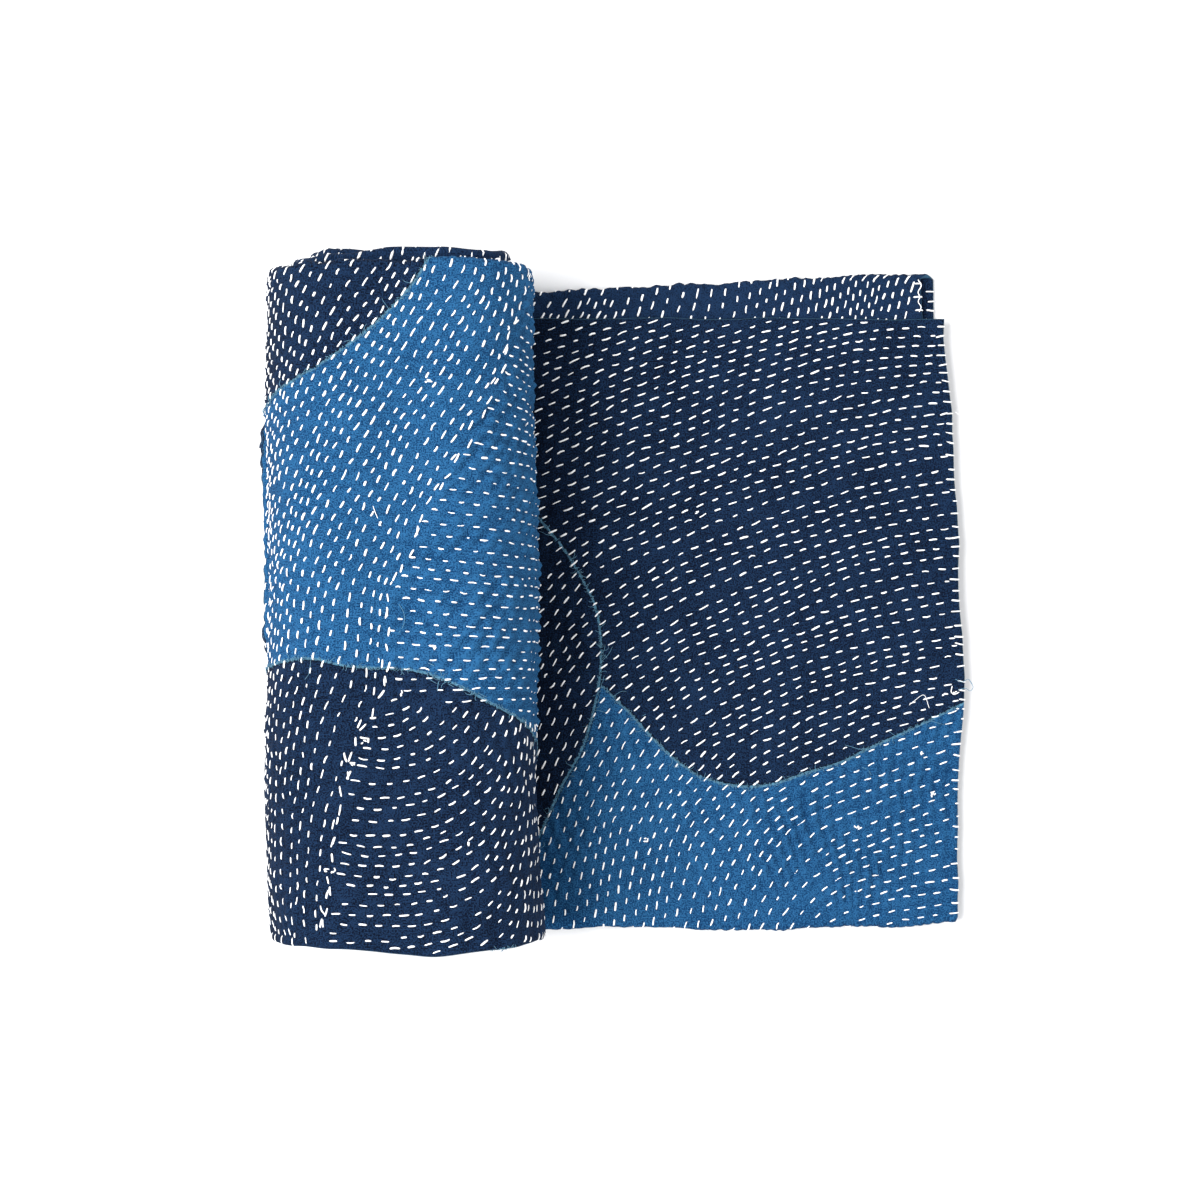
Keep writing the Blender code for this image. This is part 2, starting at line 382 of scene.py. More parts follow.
def cloth_point(s, q, face, lift=0.0):
    """Points of the quilt: lift is how far they stand off the given face of the cloth."""
    s, q, face, lift = np.broadcast_arrays(*(np.asarray(a, dtype=float) for a in (s, q, face, lift)))
    far, near = folds(s)
    walk = unfold(s, q, face)
    past_far = walk - far
    past_one = past_far - HALF_TURN
    past_near = past_one - (far - near)
    past_two = past_near - HALF_TURN
    bend_far = np.clip(past_far / FOLD_RADIUS, 0, math.pi)
    bend_near = np.clip(past_near / FOLD_RADIUS, 0, math.pi)
    n = THICKNESS / 2 + FOLD_RADIUS * (2 - np.cos(bend_far) - np.cos(bend_near))
    y = (
        np.minimum(walk, far) + FOLD_RADIUS * np.sin(bend_far)
        - np.clip(past_one, 0, far - near) - FOLD_RADIUS * np.sin(bend_near)
        + np.maximum(past_two, 0)
    )
    plump = 1.0
    for inside in (inside_edges(s, walk), np.minimum(s, LENGTH - s)):
        plump = plump * np.sqrt(1 - (1 - np.clip(inside / HEM, 0, 1)) ** 2)
    out = face * (THICKNESS / 2 * plump + lift)
    n = n + out * np.cos(bend_far) * np.cos(bend_near)

    lates = [
        table_value([end for end in ENDS if end.layer == layer], "y", "short", y)
        for layer in range(LAYERS)
    ]
    layer = (bend_far + bend_near) / math.pi
    late = lates[0] + (lates[1] - lates[0]) * np.minimum(layer, 1)
    late = late + (lates[2] - lates[1]) * np.maximum(layer - 1, 0)
    fine, broad = noise(y, 0.05 * layer, 0.012, 11), noise(y, 0.2 * layer, 0.05, 12)
    late = late + END_WAVER * (fine + broad)
    late = late * (1 - ease(s / ENDS_EVEN_OUT))
    y = y - out * (np.sin(bend_far) + np.sin(bend_near))

    middle, radius, angle = (np.interp(s, PATH[0], column) for column in PATH[1:])
    x = middle - late - (radius - n) * np.sin(angle)
    z = ROLL_RADIUS - (radius - n) * np.cos(angle)
    x, y, z = settled(x, y, z)
    z = np.where(z < FLOOR_GAP, FLOOR_GAP + FLOOR_GIVES * (z - FLOOR_GAP), z)
    return np.stack((x, y, z), axis=-1) + ROLL_MIDDLE


def photo_xy(px, py, z):
    """The place at a height z that the photograph shows at a pixel, from the roll's middle."""
    scale = FLOOR_PER_PIXEL * (CAMERA_HEIGHT - z) / CAMERA_HEIGHT
    return (px - PHOTO_SIDE / 2) * scale + PHOTO_MIDDLE_X, (PHOTO_SIDE / 2 - py) * scale


OUTER_TURN = np.linspace(0.40, 0.80, 801)
ROLL_TOP = 0.12


def crown():
    """Along, x and z on the part of the outer turn that is seen from above."""
    s = OUTER_TURN
    points = cloth_point(s, 0.0, BACK) - ROLL_MIDDLE
    left, right = np.argmin(points[:, 0]), np.argmax(points[:, 0])
    return s[left:right + 1], points[left:right + 1, 0], points[left:right + 1, 2]


CROWN_S, CROWN_X, CROWN_Z = crown()


def seen_on_roll(px, py):
    """The place on the back that the photograph shows at a pixel of the roll."""
    z = ROLL_TOP
    for _ in range(8):
        x, y = photo_xy(px, py, z)
        girth = 1 + table_value(GIRTHS, "y", "grow", np.array(y))
        z = np.interp(x, ROLL_LEFT + (CROWN_X - ROLL_LEFT) * girth, CROWN_Z)
    x = ROLL_LEFT + (x - ROLL_LEFT) / girth
    return float(np.interp(x, CROWN_X, CROWN_S)), float(y)


def seen_on_tail(px, py):
    """The place on the front that it shows at a pixel of the loose end."""
    x, y = photo_xy(px, py, PACK)
    return x - LOOSE_END_X, y


def seen_on_strip(px, py):
    """The place on the back that it shows along the far side of the loose end."""
    x, y = photo_xy(px, py, 2 * PACK / 3)
    s = LOOSE_END_X - x
    far, _ = folds(np.array(s))
    return s, 2 * float(far) + HALF_TURN - y


def crown_slope(s):
    """How fast the outer turn runs to the right, for each metre along it."""
    return np.clip(np.interp(s, CROWN_S[1:], np.diff(CROWN_X) / np.diff(CROWN_S)), 0.35, 1.0)


def smooth_line(points, step=0.001, reach=0.0):
    """Points step apart on a curve through the given ones, running straight on past its ends."""
    points = np.array(points, dtype=float)
    padded = np.vstack((2 * points[0] - points[1], points, 2 * points[-1] - points[-2]))
    line = []
    for a, b, c, d in zip(padded, padded[1:], padded[2:], padded[3:]):
        count = max(2, int(np.linalg.norm(c - b) / step))
        t = np.linspace(0, 1, count, endpoint=False)[:, None]
        line.append(
            b + t * (c - a) / 2 + t**2 * (a - 2.5 * b + 2 * c - d / 2)
            + t**3 * (1.5 * b - a / 2 - 1.5 * c + d / 2)
        )
    line = np.vstack(line + [points[-1:]])
    if reach:
        away = np.arange(step, reach, step)[:, None]
        before = line[0] + unit(line[0] - line[3]) * away[::-1]
        after = line[-1] + unit(line[-1] - line[-4]) * away
        line = np.vstack((before, line, after))
    return line


def side_of(line, s, q):
    """Signed distances from a line on the cloth: positive on its left as it runs."""
    tree = kdtree.KDTree(len(line))
    for i, (a, b) in enumerate(line):
        tree.insert((a, b, 0.0), i)
    tree.balance()
    run = np.gradient(line, axis=0)
    run /= np.linalg.norm(run, axis=1)[:, None]
    flat_s, flat_q = np.ravel(s), np.ravel(q)
    nearest = np.array([tree.find((a, b, 0.0))[1] for a, b in zip(flat_s, flat_q)])
    away = np.stack((flat_s, flat_q), axis=1) - line[nearest]
    side = run[nearest, 0] * away[:, 1] - run[nearest, 1] * away[:, 0]
    along = (run[nearest] * away).sum(axis=1)
    inner = (nearest > 0) & (nearest < len(line) - 1)
    distance = np.where(inner, side, np.sign(side) * np.hypot(side, along))
    return distance.reshape(np.shape(s))


class Chart:
    """A rectangle of cloth with an even grid over it. c runs to the right as the photograph
    shows that face, so it is along the strip on the back and against it on the front."""

    def __init__(self, c_span, q_span, cell):
        self.cell = cell
        self.low = (c_span[0], q_span[0])
        spans = [np.arange(low, high + cell, cell) for low, high in (c_span, q_span)]
        self.c, self.q = np.meshgrid(*spans, indexing="ij")

    def sample(self, values, c, q):
        rows, columns = values.shape
        u = np.clip((np.asarray(c) - self.low[0]) / self.cell, 0, rows - 1.001)
        v = np.clip((np.asarray(q) - self.low[1]) / self.cell, 0, columns - 1.001)
        i, j = u.astype(int), v.astype(int)
        a, b = u - i, v - j
        low = values[i, j] * (1 - a) + values[i + 1, j] * a
        high = values[i, j + 1] * (1 - a) + values[i + 1, j + 1] * a
        return low * (1 - b) + high * b


def potential(slope_c, slope_q, cell):
    """The values on a grid whose slopes come nearest to the given ones."""
    spread = np.zeros(slope_c.shape)
    flow_c = (slope_c[1:] + slope_c[:-1]) / 2
    flow_q = (slope_q[:, 1:] + slope_q[:, :-1]) / 2
    spread[:-1] += flow_c
    spread[1:] -= flow_c
    spread[:, :-1] += flow_q
    spread[:, 1:] -= flow_q
    mirrored = np.block([[spread, spread[:, ::-1]], [spread[::-1], spread[::-1, ::-1]]]) / cell
    turns = [2 * math.pi * np.arange(n) / n for n in mirrored.shape]
    bend = (2 * np.cos(turns[0])[:, None] + 2 * np.cos(turns[1])[None, :] - 4) / cell**2
    bend[0, 0] = 1.0
    values = np.fft.ifft2(np.fft.fft2(mirrored) / bend).real
    return values[:slope_c.shape[0], :slope_c.shape[1]]


RISE_ROUNDS = 8
RISE_LEAST = 0.72
RISE_MOST = 1.40


def rising(turn, wanted):
    """Values that rise by one for each wanted length in a direction. Where the directions come
    together or part, the length gives way."""
    run_c, run_q = np.cos(turn), np.sin(turn)
    rise = 1 / wanted
    for _ in range(RISE_ROUNDS):
        values = potential(run_c * rise, run_q * rise, ROW_CELL)
        slope_c, slope_q = np.gradient(values, ROW_CELL)
        slope = slope_c * run_c + slope_q * run_q
        rise = np.clip(slope, RISE_LEAST / wanted, RISE_MOST / wanted)
    return values


# A stretch's sewing: lengths in metres, and each row's start as a share of the last one's step
Sewing = namedtuple("Sewing", "spacing pitch stagger stitch width ridge seed")
TAIL_SEWING = Sewing(0.0069, 0.0104, 0.45, 0.0051, 0.00048, 0.00045, 21)
STRIP_SEWING = Sewing(0.0062, 0.0090, 0.50, 0.0047, 0.00058, 0.00070, 31)
ROLL_LEFT_SEWING = Sewing(0.0060, 0.0092, -0.34, 0.0045, 0.00061, 0.00080, 41)
ROLL_RIGHT_SEWING = Sewing(0.0069, 0.0095, 0.50, 0.0040, 0.00052, 0.00150, 51)
ROLL_CORNER_SEWING = Sewing(0.0064, 0.0096, 0.45, 0.0044, 0.00053, 0.00080, 61)
FOLD_SEWING = Sewing(0.0064, 0.0098, 0.50, 0.0052, 0.00064, 0.0, 71)

# How rows are laid. Shares are of the spacing: a row goes on, or starts, that far from others.
ROW_CELL = 0.003
ROW_STEP = 0.0015
ROW_LONGEST = 400
ROW_SHORTEST = 5
COUNT_SLIP = 0.12
GOES_ON = 0.73
Search = namedtuple("Search", "apart starts")
SEARCHES = (Search(1.0, 0.90), Search(0.80, 0.78))
GUIDE_REACH = 0.008
HEADING_WAVERS = (Waver(math.radians(2.5), 0.04, 0),)
SPACING_WAVERS = (Waver(0.05, 0.045, 1),)

# How the cloth puffs up between stitches
PUFF_BENDS = (Waver(0.26, 0.013, 4), Waver(0.10, 0.005, 5))
PUFF_STRENGTHS = (Waver(0.85, 0.019, 2),)
PUFF_SHARPNESS = 0.7
PUFF_BETWEEN = 0.3
ROW_RIDGE = 0.4

# How uneven hand sewing is: lengths and widths as shares of the usual ones
Spread = namedtuple("Spread", "usual least most")
LENGTHS = Spread(0.19, 0.55, 1.6)
WIDTHS = Spread(0.16, 0.7, 1.45)
PLACE_SLIP = 0.00028
ANGLE_SLIP = math.radians(4.5)
Direction = namedtuple("Direction", "c q angle")
Marks = namedtuple("Marks", "c q angle length width")


class Rows:
    """Rows of running stitches on a chart, worked out from their directions at some places."""

    def __init__(self, c_span, q_span, directions, sewing):
        self.sewing = sewing
        self.chart = Chart(c_span, q_span, ROW_CELL)
        c, q = self.chart.c, self.chart.q
        total, angle = 0.0, 0.0
        for guide in directions:
            near = ((c - guide.c) ** 2 + (q - guide.q) ** 2 + GUIDE_REACH**2) ** -1.5
            total = total + near
            angle = angle + near * guide.angle
        self.angle = wavered(angle / total, c, q, HEADING_WAVERS, sewing.seed)
        uneven = wavered(1, c, q, SPACING_WAVERS, sewing.seed)
        self.spacing = sewing.spacing * uneven
        self.pitch = sewing.pitch / uneven
        self.row = rising(self.angle + math.pi / 2, self.spacing)
        self.step = rising(self.angle, self.pitch)
        self.laid = self.lay()

    def lay(self):
        """Rows side by side, each going on while it keeps clear of the others, as arrays of c, q,
        angle and the count of stitches along the row."""
        size = 1.2 * self.sewing.spacing
        taken = {}

        def clear(c, q, wanted):
            i, j = int(c // size), int(q // size)
            return not any(
                (c - near_c) ** 2 + (q - near_q) ** 2 < wanted**2
                for a in (i - 1, i, i + 1) for b in (j - 1, j, j + 1)
                for near_c, near_q in taken.get((a, b), ())
            )

        angles, spacings, pitches = (v.tolist() for v in (self.angle, self.spacing, self.pitch))
        rows, columns = self.angle.shape

        def cell(c, q):
            i = round((c - self.chart.low[0]) / ROW_CELL)
            j = round((q - self.chart.low[1]) / ROW_CELL)
            return (i, j) if 0 <= i < rows and 0 <= j < columns else None

        def follow(c, q, count, way):
            places = []
            at = cell(c, q)
            while at and len(places) < ROW_LONGEST:
                if not clear(c, q, GOES_ON * spacings[at[0]][at[1]]):
                    break
                angle = angles[at[0]][at[1]]
                places.append((c, q, angle, count))
                c += way * ROW_STEP * math.cos(angle)
                q += way * ROW_STEP * math.sin(angle)
                count += way * ROW_STEP / pitches[at[0]][at[1]]
                at = cell(c, q)
            return places

        chance = np.random.RandomState(self.sewing.seed)
        laid = []
        for apart, starts in SEARCHES:
            waiting = deque([(self.chart.c.mean(), self.chart.q.mean(), 0.0)])
            waiting.extend(start for row in laid for start in self.beside(row, apart))
            while waiting:
                c, q, count = waiting.popleft()
                at = cell(c, q)
                if at is None or not clear(c, q, starts * spacings[at[0]][at[1]]):
                    continue
                count += chance.uniform(-COUNT_SLIP, COUNT_SLIP)
                row = follow(c, q, count, -1)[:0:-1] + follow(c, q, count, 1)
                if len(row) < ROW_SHORTEST:
                    continue
                for c, q, _, _ in row:
                    taken.setdefault((int(c // size), int(q // size)), []).append((c, q))
                laid.append(np.array(row))
                waiting.extend(self.beside(laid[-1], apart))
        return laid

    def beside(self, row, apart):
        """Places where rows may start on both sides of a row."""
        c, q, angle, count = row[::2].T
        away = apart * self.chart.sample(self.spacing, c, q)
        starts = [
            (c - side * away * np.sin(angle), q + side * away * np.cos(angle),
             count + side * self.sewing.stagger)
            for side in (1, -1)
        ]
        return np.stack(starts).transpose(2, 0, 1).reshape(-1, 3).tolist()

    def relief(self, c, q):
        """How far the cloth puffs up between the stitches, in ridges from row to row."""
        row = self.chart.sample(self.row, c, q)
        step = self.chart.sample(self.step, c, q)
        phase = step - self.sewing.stagger * row
        phase = phase + wavered(0.0, c, q, PUFF_BENDS, self.sewing.seed)
        puff = 2 * np.abs(np.sin(math.pi * phase)) ** PUFF_SHARPNESS - 1
        between = 2 * np.abs(np.sin(math.pi * row)) - 1
        strength = wavered(PUFF_STRENGTHS[0].size, c, q, PUFF_STRENGTHS, self.sewing.seed)
        puff = strength * puff * (1 - PUFF_BETWEEN + PUFF_BETWEEN * between)
        return self.sewing.ridge * (puff + ROW_RIDGE * between)

    def stitches(self):
        """The stitches along each row, one for each whole count."""
        found = []
        for c, q, angle, count in (row.T for row in self.laid):
            at = np.arange(math.ceil(count[0]), count[-1])
            found.append([np.interp(at, count, values) for values in (c, q, angle)])
        return self.sewn(*np.concatenate(found, axis=1))

    def stitches_on(self, face, margin=0.0022):
        """The stitches that lie inside the free edges of a face."""
        marks = self.stitches()
        s = -face * marks.c
        walk = unfold(s, marks.q, face)
        inside = np.minimum(inside_edges(s, walk), np.minimum(s - 0.0030, LENGTH - s))
        return only(marks, inside > margin)

    def sewn(self, c, q, angle):
        """Stitches at those places, as uneven as hand sewing."""
        chance = np.random.RandomState(self.sewing.seed + 3)
        c = c + chance.normal(0, PLACE_SLIP, c.size)
        q = q + chance.normal(0, PLACE_SLIP, c.size)
        angle = angle + chance.normal(0, ANGLE_SLIP, c.size)
        length, width = (
            usual * np.clip(chance.normal(1, spread.usual, c.size), spread.least, spread.most)
            for usual, spread in ((self.sewing.stitch, LENGTHS), (self.sewing.width, WIDTHS))
        )
        return Marks(c, q, angle, length, width)


def only(marks, kept):
    return Marks(*(values[kept] for values in marks))


def together(*several):
    return Marks(*(np.concatenate(values) for values in zip(*several)))


def directions(guide_rows, seen):
    """The guides as places and angles on the cloth, which leans away down the roll's sides."""
    found = []
    for guide in guide_rows:
        c, q = seen(guide.px, guide.py)
        slope = crown_slope(c) if seen is seen_on_roll else 1.0
        angle = math.radians(guide.angle)
        found.append(Direction(c, q, math.atan2(math.sin(angle), math.cos(angle) / slope)))
    return found


def cloth_line(line, seen, reach=0.0):
    return smooth_line([seen(spot.px, spot.py) for spot in line], reach=reach)


# The front's rows, seams and relief
FRONT_C = (-0.372, 0.0)
FRONT_Q = (-0.222, 0.192)
front_rows = Rows(FRONT_C, FRONT_Q, directions(TAIL_GUIDES, seen_on_tail), TAIL_SEWING)
navy_seam = cloth_line(TAIL_NAVY_SEAM, seen_on_tail, 0.12)
arc_seam = cloth_line(TAIL_ARC_SEAM, seen_on_tail, 0.05)

# The back's, on the far side of the loose end, under it and on the roll
BACK_C = (0.0, 0.830)
BACK_Q = (-0.222, 0.262)
UNDER_ENDS = 0.365
UNDER_C = (0.0, UNDER_ENDS + 0.02)
ROLL_C = (UNDER_ENDS - 0.02, 0.830)
strip_rows = Rows(UNDER_C, BACK_Q, directions(STRIP_GUIDES, seen_on_strip), STRIP_SEWING)
left_rows = Rows(ROLL_C, BACK_Q, directions(ROLL_LEFT_GUIDES, seen_on_roll), ROLL_LEFT_SEWING)
right_rows = Rows(ROLL_C, BACK_Q, directions(ROLL_RIGHT_GUIDES, seen_on_roll), ROLL_RIGHT_SEWING)
corner_rows = Rows(ROLL_C, BACK_Q, directions(ROLL_CORNER_GUIDES, seen_on_roll), ROLL_CORNER_SEWING)
right_start = cloth_line(RIGHT_ROWS_START, seen_on_roll, 0.06)
corner_start = cloth_line(CORNER_ROWS_START, seen_on_roll, 0.20)
far_seam = cloth_line(ROLL_FAR_SEAM, seen_on_roll, 0.30)
near_seam = cloth_line(ROLL_NEAR_SEAM, seen_on_roll, 0.30)
INNER_TURN_STARTS = 0.790
LIP_C = 0.4770
LIP_REACHES = 0.0028
LIP_MIDDLE_Q = 0.037
LIP_HALF = 0.080
LIP_HEIGHT = 0.0036

SEAM_CELL = 0.002
RELIEF_CELL = 0.001
FAR_OUTSIDE = -0.02
PATCH_EDGE = 0.00045
PATCH_EDGE_RISE = 0.0016
PATCH_EDGE_FADES = 0.005
DIMPLE = 0.00035
DIMPLE_REACH = 0.005
DIMPLE_WIDTH = 0.0014

# The loose end's blue patch has shorter stitches and more puckered cloth, most near its end
BLUE_EASE = 0.010
BLUE_SHORTENS = 0.10
BLUE_PUCKERS = 0.9
BLUE_END_PUCKERS = 1.2
FRONT_WAVERS = (Waver(0.0004, 0.030, 81),)
FRONT_CREASES = 0.0002
BACK_WAVERS = (Waver(0.0005, 0.028, 83),)
BACK_CREASES = 0.0002
RIGHT_CREASES = 0.0008


class FaceChart:
    """One face's patches, seams and relief. In metres from the seams, patch is positive on the
    lighter blue, and seam_one and seam_two on the patch that lies on top."""

    def __init__(self, c_span, q_span):
        self.seams = Chart(c_span, q_span, SEAM_CELL)
        self.fine = Chart(c_span, q_span, RELIEF_CELL)

    def raised(self, c, q):
        """The step up to the raw edge of the patch on top."""
        total = 0.0
        for seam in (self.seam_one, self.seam_two):
            inside = self.seams.sample(seam, c, q)
            rise = ease(0.5 + inside / PATCH_EDGE_RISE)
            total = total + rise * np.exp(-np.abs(inside) / PATCH_EDGE_FADES)
        return PATCH_EDGE * total

    def press(self, marks, relief):
        """Keeps the relief, pressed down under each stitch."""
        reach = int(DIMPLE_REACH / RELIEF_CELL)
        self.relief = relief
        starts = [np.round((values - low) / RELIEF_CELL).astype(int)
                  for values, low in zip((marks.c, marks.q), self.fine.low)]
        for k, (i, j) in enumerate(zip(*starts)):
            window = (slice(max(0, i - reach), max(0, i + reach + 1)),
                      slice(max(0, j - reach), max(0, j + reach + 1)))
            c = self.fine.c[window] - marks.c[k]
            q = self.fine.q[window] - marks.q[k]
            along = c * math.cos(marks.angle[k]) + q * math.sin(marks.angle[k])
            across = q * math.cos(marks.angle[k]) - c * math.sin(marks.angle[k])
            depth = np.exp(-(across / DIMPLE_WIDTH) ** 2 - (2 * along / marks.length[k]) ** 4)
            relief[window] -= DIMPLE * depth
        self.lift_of = lambda c, q: self.fine.sample(self.relief, c, q)


def front_face():
    face = FaceChart(FRONT_C, FRONT_Q)
    c, q = face.seams.c, face.seams.q
    right = side_of(navy_seam, c, q)
    above = side_of(arc_seam, c, q)
    face.patch = np.minimum(right, -above)
    face.seam_one = -right
    face.seam_two = np.where(right > 0, -above, -np.sign(above))
    marks = front_rows.stitches_on(FRONT)
    blue = ease(0.5 + face.seams.sample(face.patch, marks.c, marks.q) / BLUE_EASE)
    marks = marks._replace(length=marks.length * (1 - BLUE_SHORTENS * blue))
    marks = together(marks, knot_marks(TAIL_KNOTS, seen_on_tail, 93))
    c, q = face.fine.c, face.fine.q
    blue = ease(0.5 + face.seams.sample(face.patch, c, q) / BLUE_EASE)
    to_end = ease((c + 0.22) / 0.12)
    puckered = 1 + (BLUE_PUCKERS + BLUE_END_PUCKERS * to_end) * blue
    relief = front_rows.relief(c, q) * puckered + face.raised(c, q)
    relief += wavered(0.0, c, q, FRONT_WAVERS) + FRONT_CREASES * crumples(c, q, 82)
    relief *= 0.35 + 0.65 * ease((q + 0.208) / 0.022)
    face.press(marks, relief)
    return face, marks


def back_face():
    face = FaceChart(BACK_C, BACK_Q)
    c, q = face.seams.c, face.seams.q
    below = side_of(far_seam, c, q)
    above = side_of(near_seam, c, q)
    under_lip = c < LIP_C + LIP_REACHES
    patch = np.minimum(np.minimum(below, above), INNER_TURN_STARTS - c)
    face.patch, face.seam_one, face.seam_two = (
        np.where(under_lip, FAR_OUTSIDE, values) for values in (patch, below, above)
    )
    right = side_of(right_start, c, q)
    upper = side_of(corner_start, c, q)

    def kept_where(rows, wanted):
        marks = rows.stitches_on(BACK)
        place = [face.seams.sample(values, marks.c, marks.q) for values in (right, upper)]
        return only(marks, wanted(marks, *place))

    marks = together(
        kept_where(strip_rows, lambda m, r, u: m.c < UNDER_ENDS),
        slimmed(kept_where(left_rows, lambda m, r, u: (m.c > UNDER_ENDS) & (r < -0.0034))),
        kept_where(right_rows, lambda m, r, u: (r > 0.0030) & (u > 0.0018)),
        kept_where(corner_rows, lambda m, r, u: (r > 0.0030) & (u < -0.0018)),
        border_marks(),
        knot_marks(ROLL_KNOTS, seen_on_roll, 92),
    )
    c, q = face.fine.c, face.fine.q
    right, upper = (face.seams.sample(values, c, q) for values in (right, upper))
    to_right = ease(0.5 + right / 0.006)
    to_upper = ease(0.5 + upper / 0.006)
    relief = left_rows.relief(c, q) * (1 - to_right) + to_right * (
        right_rows.relief(c, q) * to_upper + corner_rows.relief(c, q) * (1 - to_upper)
    )
    relief += wavered(0.0, c, q, BACK_WAVERS)
    relief += (BACK_CREASES + RIGHT_CREASES * to_right * to_upper) * crumples(c, q, 84)
    strip = strip_rows.relief(c, q)
    on_floor = (1 - ease((c - 0.33) / 0.05)) * (1 - ease((q - 0.180) / 0.02))
    relief = relief + (strip - relief) * (1 - ease((c - UNDER_ENDS + 0.02) / 0.02))
    relief += face.raised(c, q)
    lip_at = c - LIP_C - 0.002 * noise(q, 0.0, 0.05, 85)
    lip = np.exp(-(lip_at / 0.0030) ** 2) - 0.9 * np.exp(-((lip_at - 0.0065) / 0.0022) ** 2)
    lip_shows = ease((LIP_HALF - np.abs(q - LIP_MIDDLE_Q)) / 0.02)
    relief += LIP_HEIGHT * lip * lip_shows
    relief = relief - on_floor * (np.maximum(relief, 0) + 0.0004)
    face.press(marks, relief)
    return face, marks


def slimmed(marks):
    """The roll's left rows, in finer stitches towards its near end."""
    near_end = ease((0.01 - marks.q) / 0.08)
    width = marks.width * (1 - 0.22 * near_end)
    length = marks.length * (1 - 0.06 * near_end)
    return marks._replace(width=width, length=length)


def border_marks():
    """The row of stitches where the roll's level rows begin, some of them doubled."""
    chance = np.random.RandomState(91)
    line = right_start[::10]
    run = np.gradient(line, axis=0)
    angle = np.arctan2(run[:, 1], run[:, 0])
    doubled = np.repeat(np.arange(len(line)), chance.choice([1, 1, 2], len(line)))
    place = line[doubled]
    angle = angle[doubled] + chance.normal(0, math.radians(14), len(doubled))
    shift = chance.normal(0, 0.0012, (2, len(doubled)))
    length = chance.uniform(0.0045, 0.0070, len(doubled))
    width = chance.uniform(0.0005, 0.0007, len(doubled))
    shows = (place[:, 1] > -0.2) & (place[:, 1] < 0.2)
    marks = Marks(place[:, 0] + shift[0], place[:, 1] + shift[1], angle, length, width)
    return only(marks, shows)


ROLL_KNOTS = spots(
    (402, 692), (468, 844), (428, 381), (326, 870), (334, 872), (366, 741), (354, 764),
    (531, 424), (434, 648),
)
TAIL_KNOTS = spots((924, 754), (643, 840), (860, 828), (939, 794), (955, 692), (697, 512))


def knot_marks(knots, seen, seed):
    """Short stitches in a tangle, where a thread was fastened off."""
    chance = np.random.RandomState(seed)
    places = np.repeat([seen(knot.px, knot.py) for knot in knots], 3, axis=0)
    count = len(places)
    places = places + chance.normal(0, 0.0007, places.shape)
    return Marks(
        places[:, 0], places[:, 1], chance.uniform(0, math.pi, count),
        chance.uniform(0.0012, 0.0032, count), chance.uniform(0.0004, 0.0006, count),
    )


def new_piece(name, vertices, faces, material, floats=(), uv=None):
    """A smooth mesh that rides on the quilt's body, with the given values at its points."""
    mesh = bpy.data.meshes.new(name)
    mesh.from_pydata(vertices.tolist(), [], faces)
    for key, values in dict(floats).items():
        layer = mesh.attributes.new(key, "FLOAT", "POINT")
        layer.data.foreach_set("value", np.ascontiguousarray(values, dtype=np.float32).ravel())
    if uv is not None:
        corner = np.empty(len(mesh.loops), dtype=np.int32)
        mesh.loops.foreach_get("vertex_index", corner)
        layer = mesh.uv_layers.new(name="cloth")
        layer.data.foreach_set("uv", uv.reshape(-1, 2)[corner].astype(np.float32).ravel())
    mesh.materials.append(material)
    mesh.shade_smooth()
    piece = bpy.data.objects.new(name, mesh)
    bpy.context.scene.collection.objects.link(piece)
    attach(piece, "root")
    return piece


def tubes(name, centre, normal, width, height, sides, material, seed):
    """Many short closed tubes in one mesh: centre and normal are tubes x places x 3."""
    count, places = centre.shape[:2]
    tangent = unit(np.gradient(centre, axis=1))
    across = unit(np.cross(tangent, normal))
    upward = np.cross(across, tangent)
    turn = 2 * math.pi * np.arange(sides) / sides
    ring = (
        centre[:, :, None]
        + across[:, :, None] * (width[..., None] * np.cos(turn))[..., None]
        + upward[:, :, None] * (height[..., None] * np.sin(turn))[..., None]
    )
    first = (np.arange(count) * places * sides)[:, None, None]
    ring_starts = first + (np.arange(places - 1) * sides)[None, :, None]
    side, following = np.arange(sides), (np.arange(sides) + 1) % sides
    walls = np.stack(
        (ring_starts + side, ring_starts + following,
         ring_starts + sides + following, ring_starts + sides + side), axis=-1,
    ).reshape(-1, 4)
    start_caps = (first[:, 0] + side[::-1])
    end_caps = (first[:, 0] + (places - 1) * sides + side)
    faces = walls.tolist() + start_caps.tolist() + end_caps.tolist()
    steps = np.linalg.norm(np.diff(centre, axis=1), axis=-1)
    along = np.concatenate((np.zeros((count, 1)), np.cumsum(steps, axis=1)), axis=1)
    tone = np.random.RandomState(seed).uniform(0, 1, count)
    shape = (count, places, sides)
    floats = {
        "tone": np.broadcast_to(tone[:, None, None], shape),
        "along": np.broadcast_to(along[:, :, None], shape),
        "around": np.broadcast_to(side / sides, shape),
    }
    piece = new_piece(name, ring.reshape(-1, 3), faces, material, floats)
    return piece


# A stitch's rise from the cloth along its length, as shares of its length and its width
Rise = namedtuple("Rise", "along lift width")
STITCH_RISES = (
    Rise(-0.50, -0.45, 0.55),
    Rise(-0.36, 0.35, 0.95),
    Rise(0.00, 0.62, 1.05),
    Rise(0.36, 0.35, 0.95),
    Rise(0.50, -0.45, 0.55),
)
PLAIN_RISES = (
    Rise(-0.50, -0.4, 0.6),
    Rise(-0.2, 0.5, 1.0),
    Rise(0.2, 0.5, 1.0),
    Rise(0.50, -0.4, 0.6),
)
THREAD_FLATNESS = 0.70
STITCH_BOW = 0.00027


